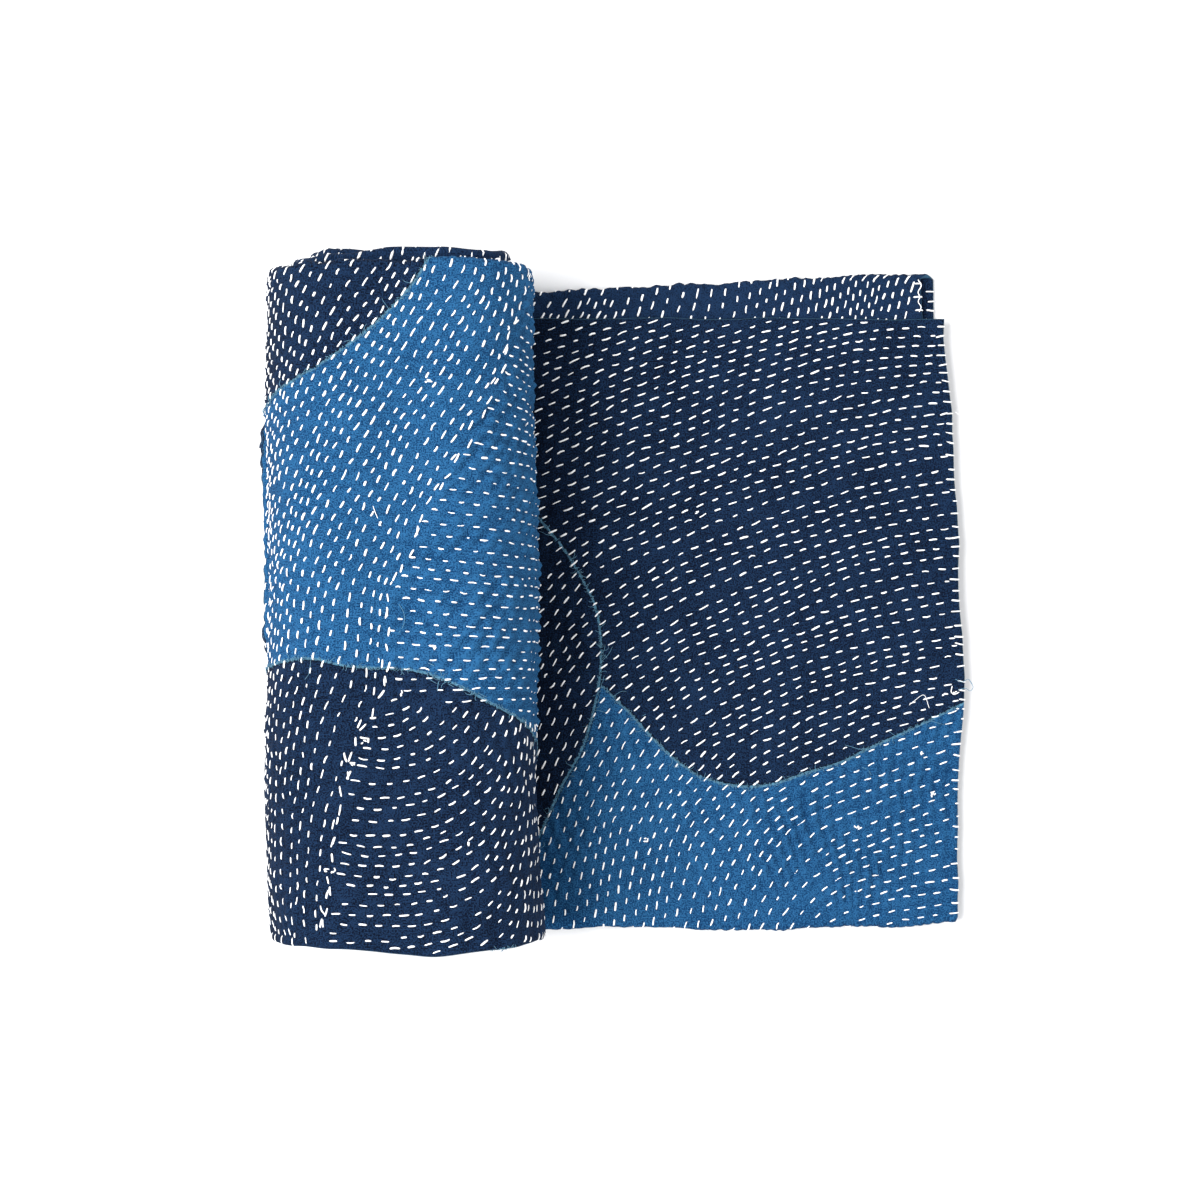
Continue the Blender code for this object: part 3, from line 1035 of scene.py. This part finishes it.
def sew(name, face, marks, lift_of, material, rises=STITCH_RISES, sides=5, seed=1):
    """Real stitches, which lie on the cloth and dive into it at their ends."""
    along, lift, girth = (np.array(column) for column in zip(*rises))
    bow = np.random.RandomState(seed + 1).normal(0, STITCH_BOW, (len(marks.c), 1))
    bow = bow * (1 - 4 * along**2)
    run, aside = np.cos(marks.angle)[:, None], np.sin(marks.angle)[:, None]
    c = marks.c[:, None] + run * along * marks.length[:, None] - aside * bow
    q = marks.q[:, None] + aside * along * marks.length[:, None] + run * bow
    base = lift_of(c, q) if lift_of else np.zeros(c.shape)
    base = (base + base.mean(axis=1, keepdims=True)) / 2
    height = base + lift * marks.width[:, None]
    s = -face * c
    centre = cloth_point(s, q, face, height)
    normal = unit(cloth_point(s, q, face, height + 0.001) - centre)
    width = marks.width[:, None] * girth
    return tubes(name, centre, normal, width, width * THREAD_FLATNESS, sides, material, seed)


# Stitches over an edge, from one face to the other, and where they go over the lower edge
OVER_EDGE_PLACES = (0.480, 0.489, 0.497, 0.508, 0.519, 0.531, 0.745, 0.770)
Over = namedtuple("Over", "inside lift push")
FIRST_FACE = (
    Over(0.0052, -0.0003, 0.0),
    Over(0.0040, 0.0004, 0.0),
    Over(0.0016, 0.0004, 0.0),
    Over(0.0003, 0.0002, 0.0005),
)
SECOND_FACE = (Over(0.0004, 0.0002, 0.0005), Over(0.0018, -0.0004, 0.0))


def sew_over(name, first_face, edge, places, seed, material):
    """Stitches over the loose end, at places across it, or over the lowest layer's free edge."""
    chance = np.random.RandomState(seed)
    slant = chance.normal(0.0, 0.13, len(places))
    reach = chance.uniform(0.75, 1.15, len(places))
    push = np.array((1.0, 0.0, 0.0) if edge == "end" else (0.0, -1.0, 0.0))
    centres, normals = [], []
    for face, overs in ((first_face, FIRST_FACE), (-first_face, SECOND_FACE)):
        for over in overs:
            inside = over.inside * reach
            across = places + slant * inside
            if edge == "end":
                s, walk = inside, across
            else:
                s, walk = across, free_edges(across)[0] + inside
            q = walk - unfold(s, 0.0, face)
            point = cloth_point(s, q, face, over.lift)
            above = cloth_point(s, q, face, over.lift + 0.001)
            centres.append(point + over.push * push)
            normals.append(unit(above - point + 0.002 * (over.push > 0) * push))
    centre, normal = np.stack(centres, axis=1), np.stack(normals, axis=1)
    width = np.broadcast_to(chance.uniform(0.0004, 0.0006, (len(places), 1)), centre.shape[:2])
    return tubes(name, centre, normal, width, width * THREAD_FLATNESS, 4, material, seed)


# Finishes. Colours are linear.
NAVY_DARK = (0.0004, 0.0018, 0.0070, 1.0)
NAVY_LIGHT = (0.0072, 0.0208, 0.0535, 1.0)
BLUE_DARK = (0.0022, 0.0220, 0.0680, 1.0)
BLUE_LIGHT = (0.0168, 0.0850, 0.1940, 1.0)
RIM_BLUE = (0.0720, 0.1900, 0.2850, 1.0)
FIBRE_BLUE = (0.0950, 0.2280, 0.3300, 1.0)
# Painted shadow, laid on the lower patch beside the upper patch's raw edge
SHADE = (0.0012, 0.0030, 0.0078, 1.0)
THREAD_WHITE = (0.94, 0.93, 0.91, 1.0)
THREAD_GREY = (0.82, 0.83, 0.85, 1.0)
FLOOR_WHITE = (0.72, 0.72, 0.72, 1.0)
FLOOR_SHADE = (0.70, 0.70, 0.705, 1.0)
MILLIMETRES = 1000.0
THREAD_SPACING = 0.00045

# The wear of the dye: how each pattern's range is stretched out, and its share
Wear = namedtuple("Wear", "low high share")
GRAIN_WEAR = Wear(0.36, 0.64, 0.66)
COARSE_WEAR = Wear(0.30, 0.70, 0.12)
SLUB_WEAR = Wear(0.75, 1.25, 0.20)
BLOTCH_WEAR = Wear(0.30, 0.70, 0.17)
PUFF_SHARE = 0.06
WORN_LOW = 0.34
WORN_HIGH = 0.81
PALE_SHARE = 0.30


class Finish:
    """A material's nodes, made and joined by short calls."""

    def __init__(self, name):
        self.material = bpy.data.materials.new(name)
        self.material.use_nodes = True
        self.tree = self.material.node_tree
        self.shader = self.tree.nodes["Principled BSDF"]

    def put(self, socket, value):
        if isinstance(value, bpy.types.NodeSocket):
            self.tree.links.new(value, socket)
        else:
            socket.default_value = value

    def node(self, kind, inputs=(), **settings):
        made = self.tree.nodes.new("ShaderNode" + kind)
        for key, value in settings.items():
            setattr(made, key, value)
        for key, value in dict(inputs).items():
            self.put(made.inputs[key], value)
        return made

    def math(self, operation, *values, clamp=False):
        made = self.node("Math", operation=operation, use_clamp=clamp)
        for socket, value in zip(made.inputs, values):
            self.put(socket, value)
        return made.outputs[0]

    def ramp(self, value, low, high, start=0.0, end=1.0):
        settings = {"Value": value, "From Min": low, "From Max": high, "To Min": start, "To Max": end}
        return self.node("MapRange", settings).outputs["Result"]

    def mix(self, share, first, second):
        made = self.node("Mix", data_type="RGBA")
        for key, value in (("Factor_Float", share), ("A_Color", first), ("B_Color", second)):
            self.put(next(s for s in made.inputs if s.identifier == key), value)
        return next(s for s in made.outputs if s.identifier == "Result_Color")

    def noise(self, place, scale, detail=2.0):
        made = self.node("TexNoise", {"Vector": place, "Scale": scale, "Detail": detail})
        return made.outputs["Fac"]

    def attribute(self, name):
        return self.node("Attribute", attribute_name=name).outputs["Fac"]

    def bump(self, height, distance, strength, under=None):
        inputs = {"Height": height, "Distance": distance, "Strength": strength}
        if under is not None:
            inputs["Normal"] = under
        return self.node("Bump", inputs).outputs["Normal"]

    def done(self, **sockets):
        for key, value in sockets.items():
            self.put(self.shader.inputs[key.replace("_", " ")], value)
        return self.material


def cloth_finish():
    """Two dyed plain-weave cottons, with the lighter threads of their raw edges, painted shadow
    beside those edges, and painted light and shade from the pale bands.
    """
    f = Finish("stitched_cotton")
    place = f.node("UVMap", uv_map="cloth").outputs["UV"]
    parts = f.node("SeparateXYZ", {"Vector": place}).outputs
    grain = f.noise(place, 1150.0, 1.0)
    coarse = f.noise(place, 420.0, 1.0)
    blotches = f.noise(place, 45.0, 3.0)
    slubs = [
        f.noise(f.node("Mapping", {"Vector": place, "Scale": scale}).outputs[0], 1.0, 1.0)
        for scale in ((180.0, 1500.0, 1.0), (1500.0, 180.0, 1.0))
    ]
    slub = f.math("ADD", slubs[0], slubs[1])
    worn = f.math("MULTIPLY", f.attribute("puff"), PUFF_SHARE)
    for value, wear in (
        (grain, GRAIN_WEAR), (coarse, COARSE_WEAR), (slub, SLUB_WEAR), (blotches, BLOTCH_WEAR),
    ):
        worn = f.math("MULTIPLY_ADD", f.ramp(value, wear.low, wear.high), wear.share, worn)
    worn = f.ramp(worn, WORN_LOW, WORN_HIGH)
    ragged = f.math("MULTIPLY_ADD", f.noise(place, 1200.0, 2.0), 0.8, -0.4)
    patch = f.math("ADD", f.attribute("patch"), ragged)
    # The pale attribute holds the dye's bands and the painted light and painted shade of the roll's
    # flanks and the loose end
    wear_with_painted_light = f.math("MULTIPLY_ADD", f.attribute("pale"), PALE_SHARE, worn)
    navy = f.mix(wear_with_painted_light, NAVY_DARK, NAVY_LIGHT)
    blue = f.mix(wear_with_painted_light, BLUE_DARK, BLUE_LIGHT)
    colour = f.mix(f.ramp(patch, -0.06, 0.06), navy, blue)
    rims, shades = [], []
    for name in ("seam_one", "seam_two"):
        inside = f.math("ADD", f.attribute(name), ragged)
        rims.append(f.ramp(f.math("ABSOLUTE", f.math("ADD", inside, 0.25)), 0.95, 0.50))
        outer, inner = f.ramp(inside, -2.3, -1.5), f.ramp(inside, -0.6, -1.0)
        shades.append(f.math("MULTIPLY", outer, inner))
    shade = f.math("MAXIMUM", *shades)
    rim = f.math("MULTIPLY", f.math("MAXIMUM", *rims), f.ramp(f.noise(place, 500.0), 0.38, 0.56))
    # Painted shadow on the lower patch beside the upper patch's raw edge
    colour = f.mix(f.math("MULTIPLY", shade, 0.70), colour, SHADE)
    colour = f.mix(f.math("MULTIPLY", rim, 0.85), colour, RIM_BLUE)
    edge = f.math("ADD", f.attribute("edge"), ragged)
    colour = f.mix(f.ramp(edge, 0.7, 0.1, 0.0, 0.3), colour, RIM_BLUE)
    turns = 2 * math.pi / (2 * THREAD_SPACING)
    waves = [f.math("SINE", f.math("MULTIPLY", part, turns)) for part in parts[:2]]
    weave = f.math("MULTIPLY", waves[0], waves[1])
    height = f.math("MULTIPLY_ADD", weave, 0.35, grain)
    normal = f.bump(height, 0.00016, 0.7)
    rough = f.ramp(worn, 0.0, 1.0, 0.86, 0.95)
    f.put(f.shader.inputs["Specular IOR Level"], 0.05)
    f.put(f.shader.inputs["Sheen Weight"], 0.01)
    f.put(f.shader.inputs["Sheen Roughness"], 0.5)
    return f.done(Base_Color=colour, Roughness=rough, Normal=normal)


def thread_finish(name, light, dark, twist):
    """A thick soft thread, with its twist."""
    f = Finish(name)
    tone = f.attribute("tone")
    place = f.node("TexCoord").outputs["Object"]
    fuzz = f.noise(place, 2500.0, 2.0)
    colour = f.mix(f.math("MULTIPLY_ADD", fuzz, 0.5, f.math("MULTIPLY", tone, 0.4)), light, dark)
    turn = f.math("MULTIPLY_ADD", f.attribute("along"), 1 / twist, f.attribute("around"))
    strand = f.math("SINE", f.math("MULTIPLY", turn, 2 * math.pi))
    normal = f.bump(f.math("MULTIPLY_ADD", fuzz, 0.5, strand), 0.00010, 0.6)
    f.put(f.shader.inputs["Specular IOR Level"], 0.2)
    f.put(f.shader.inputs["Sheen Weight"], 0.1)
    return f.done(Base_Color=colour, Roughness=f.ramp(fuzz, 0.3, 0.7, 0.75, 0.9), Normal=normal)


def floor_finish():
    f = Finish("pale_floor")
    place = f.node("TexCoord").outputs["Object"]
    mottle = f.noise(place, 3.0, 2.0)
    colour = f.mix(mottle, FLOOR_WHITE, FLOOR_SHADE)
    return f.done(Base_Color=colour, Roughness=f.ramp(mottle, 0.0, 1.0, 0.85, 0.95))


# The two faces' meshes
def walk_at(s, stretch):
    """How far across the cloth a place is. stretch counts from the lower free edge: 1 is the
    start of the far fold, 2 its end, 3 and 4 the same for the near fold and 5 the upper edge."""
    far, near = folds(s)
    lower, upper = free_edges(s)
    ends = [lower, far, far + HALF_TURN]
    ends.append(ends[-1] + far - near)
    ends.append(ends[-1] + HALF_TURN)
    ends = np.stack(ends + [unfold(s, upper, FRONT)])
    i = np.clip(stretch.astype(int), 0, len(ends) - 2)[None]
    low, high = np.take_along_axis(ends, i, 0)[0], np.take_along_axis(ends, i + 1, 0)[0]
    return low + (high - low) * (stretch - i[0])


HEM_PLACES = np.array((0.0, 0.03, 0.15, 0.40, 0.70, 1.0)) * HEM
LAYER_WIDTH = 0.400
UPPER_LAYER_WIDTH = 0.385


def evenly(start, end, step, size=1.0):
    """Places from start to end, about a step apart, where one unit is size metres."""
    return np.linspace(start, end, max(1, round((end - start) * size / step)) + 1)


def joined(*places):
    return np.unique(np.concatenate(places).round(7))


LOWER_HEM = HEM_PLACES / LAYER_WIDTH
UPPER_HEM = 5 - HEM_PLACES / UPPER_LAYER_WIDTH


def layers(step, start=0.0, end=5.0, fold_steps=8):
    """Places across the cloth, in stretches, with its layers a step apart."""
    places = [np.array((start, end))]
    for i in range(5):
        count = fold_steps if i in (1, 3) else max(1, round(LAYER_WIDTH / step))
        places.append(np.linspace(i, i + 1, count + 1))
    if start == 0:
        places.append(LOWER_HEM)
    if end == 5:
        places.append(UPPER_HEM)
    places = joined(*places)
    return places[(places >= start) & (places <= end)]


TURN_STEP = 0.0065
TURN_STEP_SHARE = 0.14
LAST_STEP = 0.003


def turns_along(start, end):
    """Places along the strip, closer together where it is wound more tightly."""
    places = [start]
    while places[-1] < end - LAST_STEP:
        radius = np.interp(places[-1], PATH[0], PATH[2])
        places.append(places[-1] + min(TURN_STEP, TURN_STEP_SHARE * radius))
    return joined(np.array(places[:-1]), np.array((end,)))


def from_end(*places):
    """Places along the strip from its loose end, closer together at the hem."""
    return joined(HEM_PLACES, *places)


def to_core(start):
    return joined(turns_along(start, LENGTH - HEM), LENGTH - HEM_PLACES)


# The parts of each face's mesh: those that show have fine steps, and the rest are coarser
Block = namedtuple("Block", "s stretch fine")
FRONT_SHOWS = 0.300
END_SHOWS = 0.04
ROLL_SHOWS = 0.800
FRONT_STEP = 0.0015
BACK_STEP = 0.0018
FRONT_BLOCKS = (
    Block(from_end(evenly(0, FRONT_SHOWS, FRONT_STEP)), layers(FRONT_STEP, 2.95, 5.0), True),
    Block(
        from_end(evenly(0, END_SHOWS, 0.002), evenly(END_SHOWS, FRONT_SHOWS, 0.01)),
        layers(0.016, 0.0, 2.95), False,
    ),
    Block(to_core(FRONT_SHOWS), layers(0.028), False),
)
BACK_BLOCKS = (
    Block(evenly(UNDER_ENDS, ROLL_SHOWS, BACK_STEP), layers(BACK_STEP, 0.0, 2.08), True),
    Block(from_end(evenly(0, UNDER_ENDS, BACK_STEP)), layers(BACK_STEP, 1.0, 2.12), True),
    Block(from_end(evenly(0, UNDER_ENDS, 0.005)), layers(0.005, 0.0, 1.0), True),
    Block(from_end(evenly(0, UNDER_ENDS, 0.013)), layers(0.013, 2.12, 5.0), False),
    Block(evenly(UNDER_ENDS, ROLL_SHOWS, 0.0065), layers(0.028, 2.08, 5.0), False),
    Block(to_core(ROLL_SHOWS), layers(0.040), False),
)


# Bands of paler colour, or darker ones below nothing, with where and how slowly they come and go.
# Some are painted light and painted shade, as marked.
Band = namedtuple("Band", "pale comes within goes over")
NEVER = 9.0
BACK_BANDS = (
    Band(1.0, -NEVER, 0.1, UNDER_ENDS, 0.03),
    Band(0.8, 0.800, 0.02, NEVER, 0.1),
    # Painted shade: darker down the roll's left flank
    Band(-0.45, 0.42, 0.03, 0.48, 0.06),
    # Painted light: paler on the roll's right flank
    Band(0.45, 0.63, 0.06, 0.78, 0.02),
)
# The second front band is painted shade: darker beside the roll
FRONT_BANDS = (Band(-0.10, -NEVER, 0.1, NEVER, 0.1), Band(-1.3, -NEVER, 0.1, -0.280, 0.054))
# The second blue band is painted shade: the blue darker towards the loose end
BLUE_BANDS = (Band(0.22, -NEVER, 0.1, NEVER, 0.1), Band(-0.60, -0.25, 0.15, NEVER, 0.1))


def banded(c, bands):
    return sum(
        band.pale * ease((c - band.comes) / band.within) * (1 - ease((c - band.goes) / band.over))
        for band in bands
    )


def paleness(face, c, patch):
    """How much paler than usual the cloth is: dye, with painted light and painted shade in some
    bands.
    """
    if face == BACK:
        return banded(c, BACK_BANDS)
    return banded(c, BLUE_BANDS) * ease(patch) + banded(c, FRONT_BANDS)


PUFFED = 0.0006
HEM_SMOOTH = 0.003


def cloth_mesh(name, face, blocks, chart, material):
    """One face of the quilt, as grids that meet where the cloth is hidden."""
    points, faces, uv = [], [], []
    values = {key: [] for key in ("patch", "seam_one", "seam_two", "puff", "edge", "pale")}
    count = 0
    for block in blocks:
        s, stretch = np.meshgrid(block.s, block.stretch, indexing="ij")
        walk = walk_at(s, stretch)
        c, q = -face * s, walk - unfold(s, 0.0, face)
        inside = np.minimum(inside_edges(s, walk), np.minimum(s, LENGTH - s))
        lift = chart.lift_of(c, q) * ease(inside / HEM_SMOOTH) if block.fine else np.zeros(s.shape)
        points.append(cloth_point(s, q, face, lift).reshape(-1, 3))
        uv.append(np.stack((s, q), axis=-1).reshape(-1, 2))
        charted = block.fine or face == BACK
        for key in ("patch", "seam_one", "seam_two"):
            distance = chart.seams.sample(getattr(chart, key), c, q)
            values[key].append(np.where(charted, distance, FAR_OUTSIDE) * MILLIMETRES)
        values["puff"].append(lift / PUFFED)
        values["edge"].append(inside * MILLIMETRES)
        values["pale"].append(paleness(face, c, values["patch"][-1]))
        number = count + np.arange(s.size).reshape(s.shape)
        count += s.size
        corners = [number[:-1, :-1], number[:-1, 1:], number[1:, 1:], number[1:, :-1]]
        faces.append(np.stack(corners[::face], axis=-1).reshape(-1, 4))
    floats = {key: np.clip(np.concatenate([v.ravel() for v in parts]), -20, 20)
              for key, parts in values.items()}
    piece = new_piece(name, np.concatenate(points), np.concatenate(faces).tolist(), material,
                      floats, np.concatenate(uv))
    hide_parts("quilt")
    return piece


def fray(name, face, starts, heading, length, chart, material, seed, radius=0.00017):
    """Loose fibres lying on one face, each with its own curl."""
    chance = np.random.RandomState(seed)
    count, places = len(starts), 5
    curl = chance.normal(0, 0.55, (count, 1)) + chance.normal(0, 0.25, (count, places - 1))
    headings = heading[:, None] + np.cumsum(curl, axis=1)
    step = length[:, None] / (places - 1)
    zero = np.zeros((count, 1))
    c = starts[:, :1] + np.hstack((zero, np.cumsum(np.cos(headings) * step, axis=1)))
    q = starts[:, 1:] + np.hstack((zero, np.cumsum(np.sin(headings) * step, axis=1)))
    arch = np.sin(np.linspace(0.15, 0.95, places) * math.pi) * chance.uniform(0.2, 1.0, (count, 1))
    lift = chart.lift_of(c, q) + 0.00015 + 0.0009 * arch * length[:, None] / 0.003
    s = -face * c
    centre = cloth_point(s, q, face, lift)
    normal = unit(cloth_point(s, q, face, lift + 0.001) - centre)
    width = np.full((count, places), radius)
    piece = tubes(name, centre, normal, width, width, 3, material, seed)
    return piece


def frayed_line(line, side, kept, chance, spacing=0.0006):
    """Starts, headings and lengths of the fibres along a raw edge, most of them on one side."""
    wanted = line[kept(line)]
    number = np.arange(0, len(wanted) - 1, spacing / 0.001)
    starts = wanted[number.astype(int)] + chance.normal(0, 0.0003, (len(number), 2))
    run = np.gradient(wanted, axis=0)[number.astype(int)]
    outward = np.arctan2(run[:, 1], run[:, 0]) + side * math.pi / 2
    flipped = chance.uniform(0, 1, len(number)) < 0.25
    heading = outward + math.pi * flipped + chance.normal(0, 0.8, len(number))
    length = 0.0016 * np.exp(chance.normal(0, 0.45, len(number)))
    length[chance.uniform(0, 1, len(number)) < 0.035] *= 3.5
    return starts, heading, length


Strand = namedtuple("Strand", "on white radius spots")
LOOSE_STRANDS = (
    Strand("roll", True, 0.00022, spots((373, 506), (375, 512), (378, 519), (381, 526))),
    Strand("roll", False, 0.00018, spots((428, 663), (436, 667), (441, 674), (438, 683), (437, 691))),
    Strand("roll", False, 0.00016, spots((448, 684), (460, 690), (472, 691), (486, 697))),
    Strand("roll", False, 0.00016, spots((399, 604), (404, 613), (404, 624), (399, 633))),
    Strand("roll", False, 0.00016, spots((270, 405), (267, 411), (262, 413), (265, 419))),
    Strand("tail", False, 0.00018, spots((955, 679), (962, 682), (968, 679), (972, 684))),
    Strand("tail", False, 0.00018, spots((958, 690), (965, 688), (970, 691), (973, 687), (969, 680))),
    Strand("tail", True, 0.00030, spots((952, 686), (951, 692), (955, 694), (959, 692))),
    Strand("tail", True, 0.00018, spots((909, 705), (915, 700), (924, 695), (929, 708))),
    Strand("tail", False, 0.00016, spots((642, 716), (650, 713), (658, 718))),
    Strand("tail", False, 0.00016, spots((862, 767), (868, 770), (871, 775))),
    Strand("tail", True, 0.00014, spots((955, 412), (960, 415), (967, 416))),
    Strand("strip", True, 0.00034, spots((918, 280), (921, 286), (918, 292), (920, 297))),
    Strand("strip", True, 0.00030, spots((920, 297), (918, 302), (921, 307), (919, 312))),
)


def loose_strands(white, materials):
    """Long loose threads, each a smooth curve a little above the cloth."""
    made = []
    for number, strand in enumerate(s for s in LOOSE_STRANDS if s.white == white):
        line = np.array([photo_place(strand.on, spot) for spot in strand.spots])
        share = np.linspace(0, len(line) - 1, 13)
        curve = smooth_line(line, step=0.0004)
        curve = curve[np.linspace(0, len(curve) - 1, 13).astype(int)]
        curve[:, 2] += 0.0004 * np.sin(share * 2.1) + 0.0006
        made.append((curve, strand.radius))
    centre = np.stack([curve for curve, _ in made])
    normal = np.broadcast_to((0.0, 0.0, 1.0), centre.shape)
    width = np.stack([np.full(centre.shape[1], radius) for _, radius in made])
    name = "loose_white_threads" if white else "loose_blue_threads"
    return tubes(name, centre, normal, width, width, 5, materials[white], 95)


def photo_place(on, spot):
    """The point of the quilt, or just beside it, that the photograph shows at a pixel."""
    if on == "roll":
        c, q = seen_on_roll(spot.px, spot.py)
        return cloth_point(c, q, BACK, 0.0005)
    height = PACK if on == "tail" else 2 * PACK / 3
    x, y = photo_xy(spot.px, spot.py, height)
    return np.array((x, y, height + 0.0005)) + ROLL_MIDDLE


# Stretches of the inner turns near their folds, which show at the roll's ends
Folded = namedtuple("Folded", "name face c_span q_span angle seed")
NEAR_FOLDS = Folded(
    "stitches_near_folds", FRONT, (-LENGTH + 0.01, -0.340), (-0.245, -0.180), 100, 101,
)
FAR_FOLDS = Folded("stitches_far_folds", BACK, (0.832, LENGTH - 0.01), (0.175, 0.245), 76, 102)
TAIL_ROWS_FROM = -0.345
UNDER_TO_Q = 0.175
LEFT_SIDE_TO = 0.560


def sew_folds(folded, thread):
    """The running stitches of one of those stretches."""
    middle_c, middle_q = sum(folded.c_span) / 2, sum(folded.q_span) / 2
    middle = Direction(middle_c, middle_q, math.radians(folded.angle))
    rows = Rows(folded.c_span, folded.q_span, [middle], FOLD_SEWING._replace(seed=folded.seed))
    marks = rows.stitches_on(folded.face)
    return sew(folded.name, folded.face, marks, None, thread, PLAIN_RISES, 4)


def sew_front(front, marks, thread):
    """The loose end's running stitches, and those by the roll's near end."""
    seen = only(marks, marks.c > TAIL_ROWS_FROM)
    return [
        sew("stitches_loose_end", FRONT, seen, front.lift_of, thread),
        sew_folds(NEAR_FOLDS, thread),
    ]


def sew_back(back, marks, thread):
    """The running stitches under the loose end, on the roll and by its far end."""
    under = (marks.c < UNDER_ENDS) & (marks.q < UNDER_TO_Q)
    left = ~under & (marks.c < LEFT_SIDE_TO)
    right = ~under & (marks.c >= LEFT_SIDE_TO)
    return [
        sew("stitches_under", BACK, only(marks, under), back.lift_of, thread, PLAIN_RISES, 4),
        sew("stitches_roll_left", BACK, only(marks, left), back.lift_of, thread),
        sew("stitches_roll_right", BACK, only(marks, right), back.lift_of, thread),
        sew_folds(FAR_FOLDS, thread),
    ]


def sew_edges(thread):
    """The stitches over edges, as the front's pieces and the back's."""
    row_ends = [row[-1, 1] for row in front_rows.laid if row[-1, 0] > -0.004]
    over_end = unfold(0.0, np.sort([q for q in row_ends if -0.200 < q < 0.178]), FRONT)
    far, _ = folds(np.array(0.0))
    over_lower = float(far) + HALF_TURN + np.arange(0.003, 0.034, 0.0085)
    over_lowest = np.arange(0.166, 0.202, 0.0062)
    over_roll = np.array(OVER_EDGE_PLACES)
    made = {FRONT: [], BACK: []}
    for name, face, edge, places, seed in (
        ("stitches_over_end", FRONT, "end", over_end, 103),
        ("stitches_over_lower_end", BACK, "end", over_lower, 104),
        ("stitches_over_lowest_end", FRONT, "end", over_lowest, 108),
        ("stitches_over_roll_edge", BACK, "edge", over_roll, 105),
    ):
        made[face].append(sew_over(name, face, edge, places, seed, thread))
    return made[FRONT], made[BACK]


def fray_seams(front, back, fibre):
    """The fibres along the patches' raw edges and the roll's near corner."""
    chance = np.random.RandomState(106)
    corner_s = np.arange(0.646, 0.662, 0.001)
    corner_edge = np.stack((corner_s, free_edges(corner_s)[0] + 0.0006), axis=1)
    arc_starts = navy_seam[:, 0].max() - 0.002
    roll_starts = LIP_C + 0.004
    tail_lines = (
        (navy_seam, 1, lambda p: (p[:, 0] > -0.30) & (p[:, 1] < 0.10) & (p[:, 1] > -0.19)),
        (arc_seam, 1, lambda p: (p[:, 0] > arc_starts) & (p[:, 0] < -0.002)),
    )
    roll_lines = (
        (far_seam, -1, lambda p: (p[:, 0] > roll_starts) & (p[:, 1] < 0.21)),
        (near_seam, -1, lambda p: (p[:, 0] > roll_starts) & (p[:, 0] < 0.785)),
        (corner_edge, -1, lambda p: p[:, 0] > 0),
    )
    made = []
    for name, face, chart, lines in (
        ("frayed_loose_end", FRONT, front, tail_lines),
        ("frayed_roll", BACK, back, roll_lines),
    ):
        parts = [frayed_line(line, side, kept, chance) for line, side, kept in lines]
        starts, heading, length = (np.concatenate(column) for column in zip(*parts))
        made.append(fray(name, face, starts, heading, length, chart, fibre, 107))
    return made


THREAD_TWIST = 0.0011
FIBRE_TWIST = 0.0005


def build_quilt():
    cloth = cloth_finish()
    thread = thread_finish("stitching_thread", THREAD_WHITE, THREAD_GREY, THREAD_TWIST)
    fibre = thread_finish("frayed_thread", FIBRE_BLUE, RIM_BLUE, FIBRE_TWIST)
    front, front_marks = front_face()
    back, back_marks = back_face()
    front_cloth = cloth_mesh("front_cloth", FRONT, FRONT_BLOCKS, front, cloth)
    back_cloth = cloth_mesh("back_cloth", BACK, BACK_BLOCKS, back, cloth)

    on_front = sew_front(front, front_marks, thread)
    on_back = sew_back(back, back_marks, thread)
    front_edges, back_edges = sew_edges(thread)
    frayed_tail, frayed_roll = fray_seams(front, back, fibre)
    on_front += [*front_edges, frayed_tail]
    on_back += [*back_edges, frayed_roll]
    strands = {True: thread, False: fibre}
    on_front += [loose_strands(white, strands) for white in strands]


FLOOR_SIZE = 8.0
SKY_WHITE = (0.97, 0.98, 1.0, 1.0)
SKY_STRENGTH = 1.00
Lamp = namedtuple("Lamp", "name energy size place")
LAMPS = (
    Lamp("window_light", 160.0, 1.9, (-1.70, 0.06, 2.50)),
    Lamp("fill_light", 18.0, 1.5, (1.60, 0.00, 1.50)),
)


def build_stage():
    bpy.ops.mesh.primitive_plane_add(size=FLOOR_SIZE, location=(0, 0, 0))
    floor = bpy.context.object
    floor.name = "floor"
    floor.data.materials.append(floor_finish())

    world = bpy.data.worlds.new("studio")
    world.use_nodes = True
    sky = world.node_tree.nodes["Background"]
    sky.inputs["Color"].default_value = SKY_WHITE
    sky.inputs["Strength"].default_value = SKY_STRENGTH
    bpy.context.scene.world = world

    for lamp in LAMPS:
        light = bpy.data.lights.new(lamp.name, "AREA")
        light.energy = lamp.energy
        light.size = lamp.size
        held = bpy.data.objects.new(lamp.name, light)
        held.location = lamp.place
        held.rotation_euler = (-held.location).to_track_quat("-Z", "Y").to_euler()
        bpy.context.scene.collection.objects.link(held)

    lens = bpy.data.cameras.new("camera")
    lens.sensor_width = SENSOR_WIDTH
    lens.lens = SENSOR_WIDTH * CAMERA_HEIGHT / (FLOOR_PER_PIXEL * PHOTO_SIDE)
    camera = bpy.data.objects.new("camera", lens)
    camera.location = (PHOTO_MIDDLE_X + ROLL_MIDDLE[0], ROLL_MIDDLE[1], CAMERA_HEIGHT)
    bpy.context.scene.collection.objects.link(camera)
    bpy.context.scene.camera = camera
    bpy.context.scene.view_settings.view_transform = "Standard"


build_stage()
build_quilt()
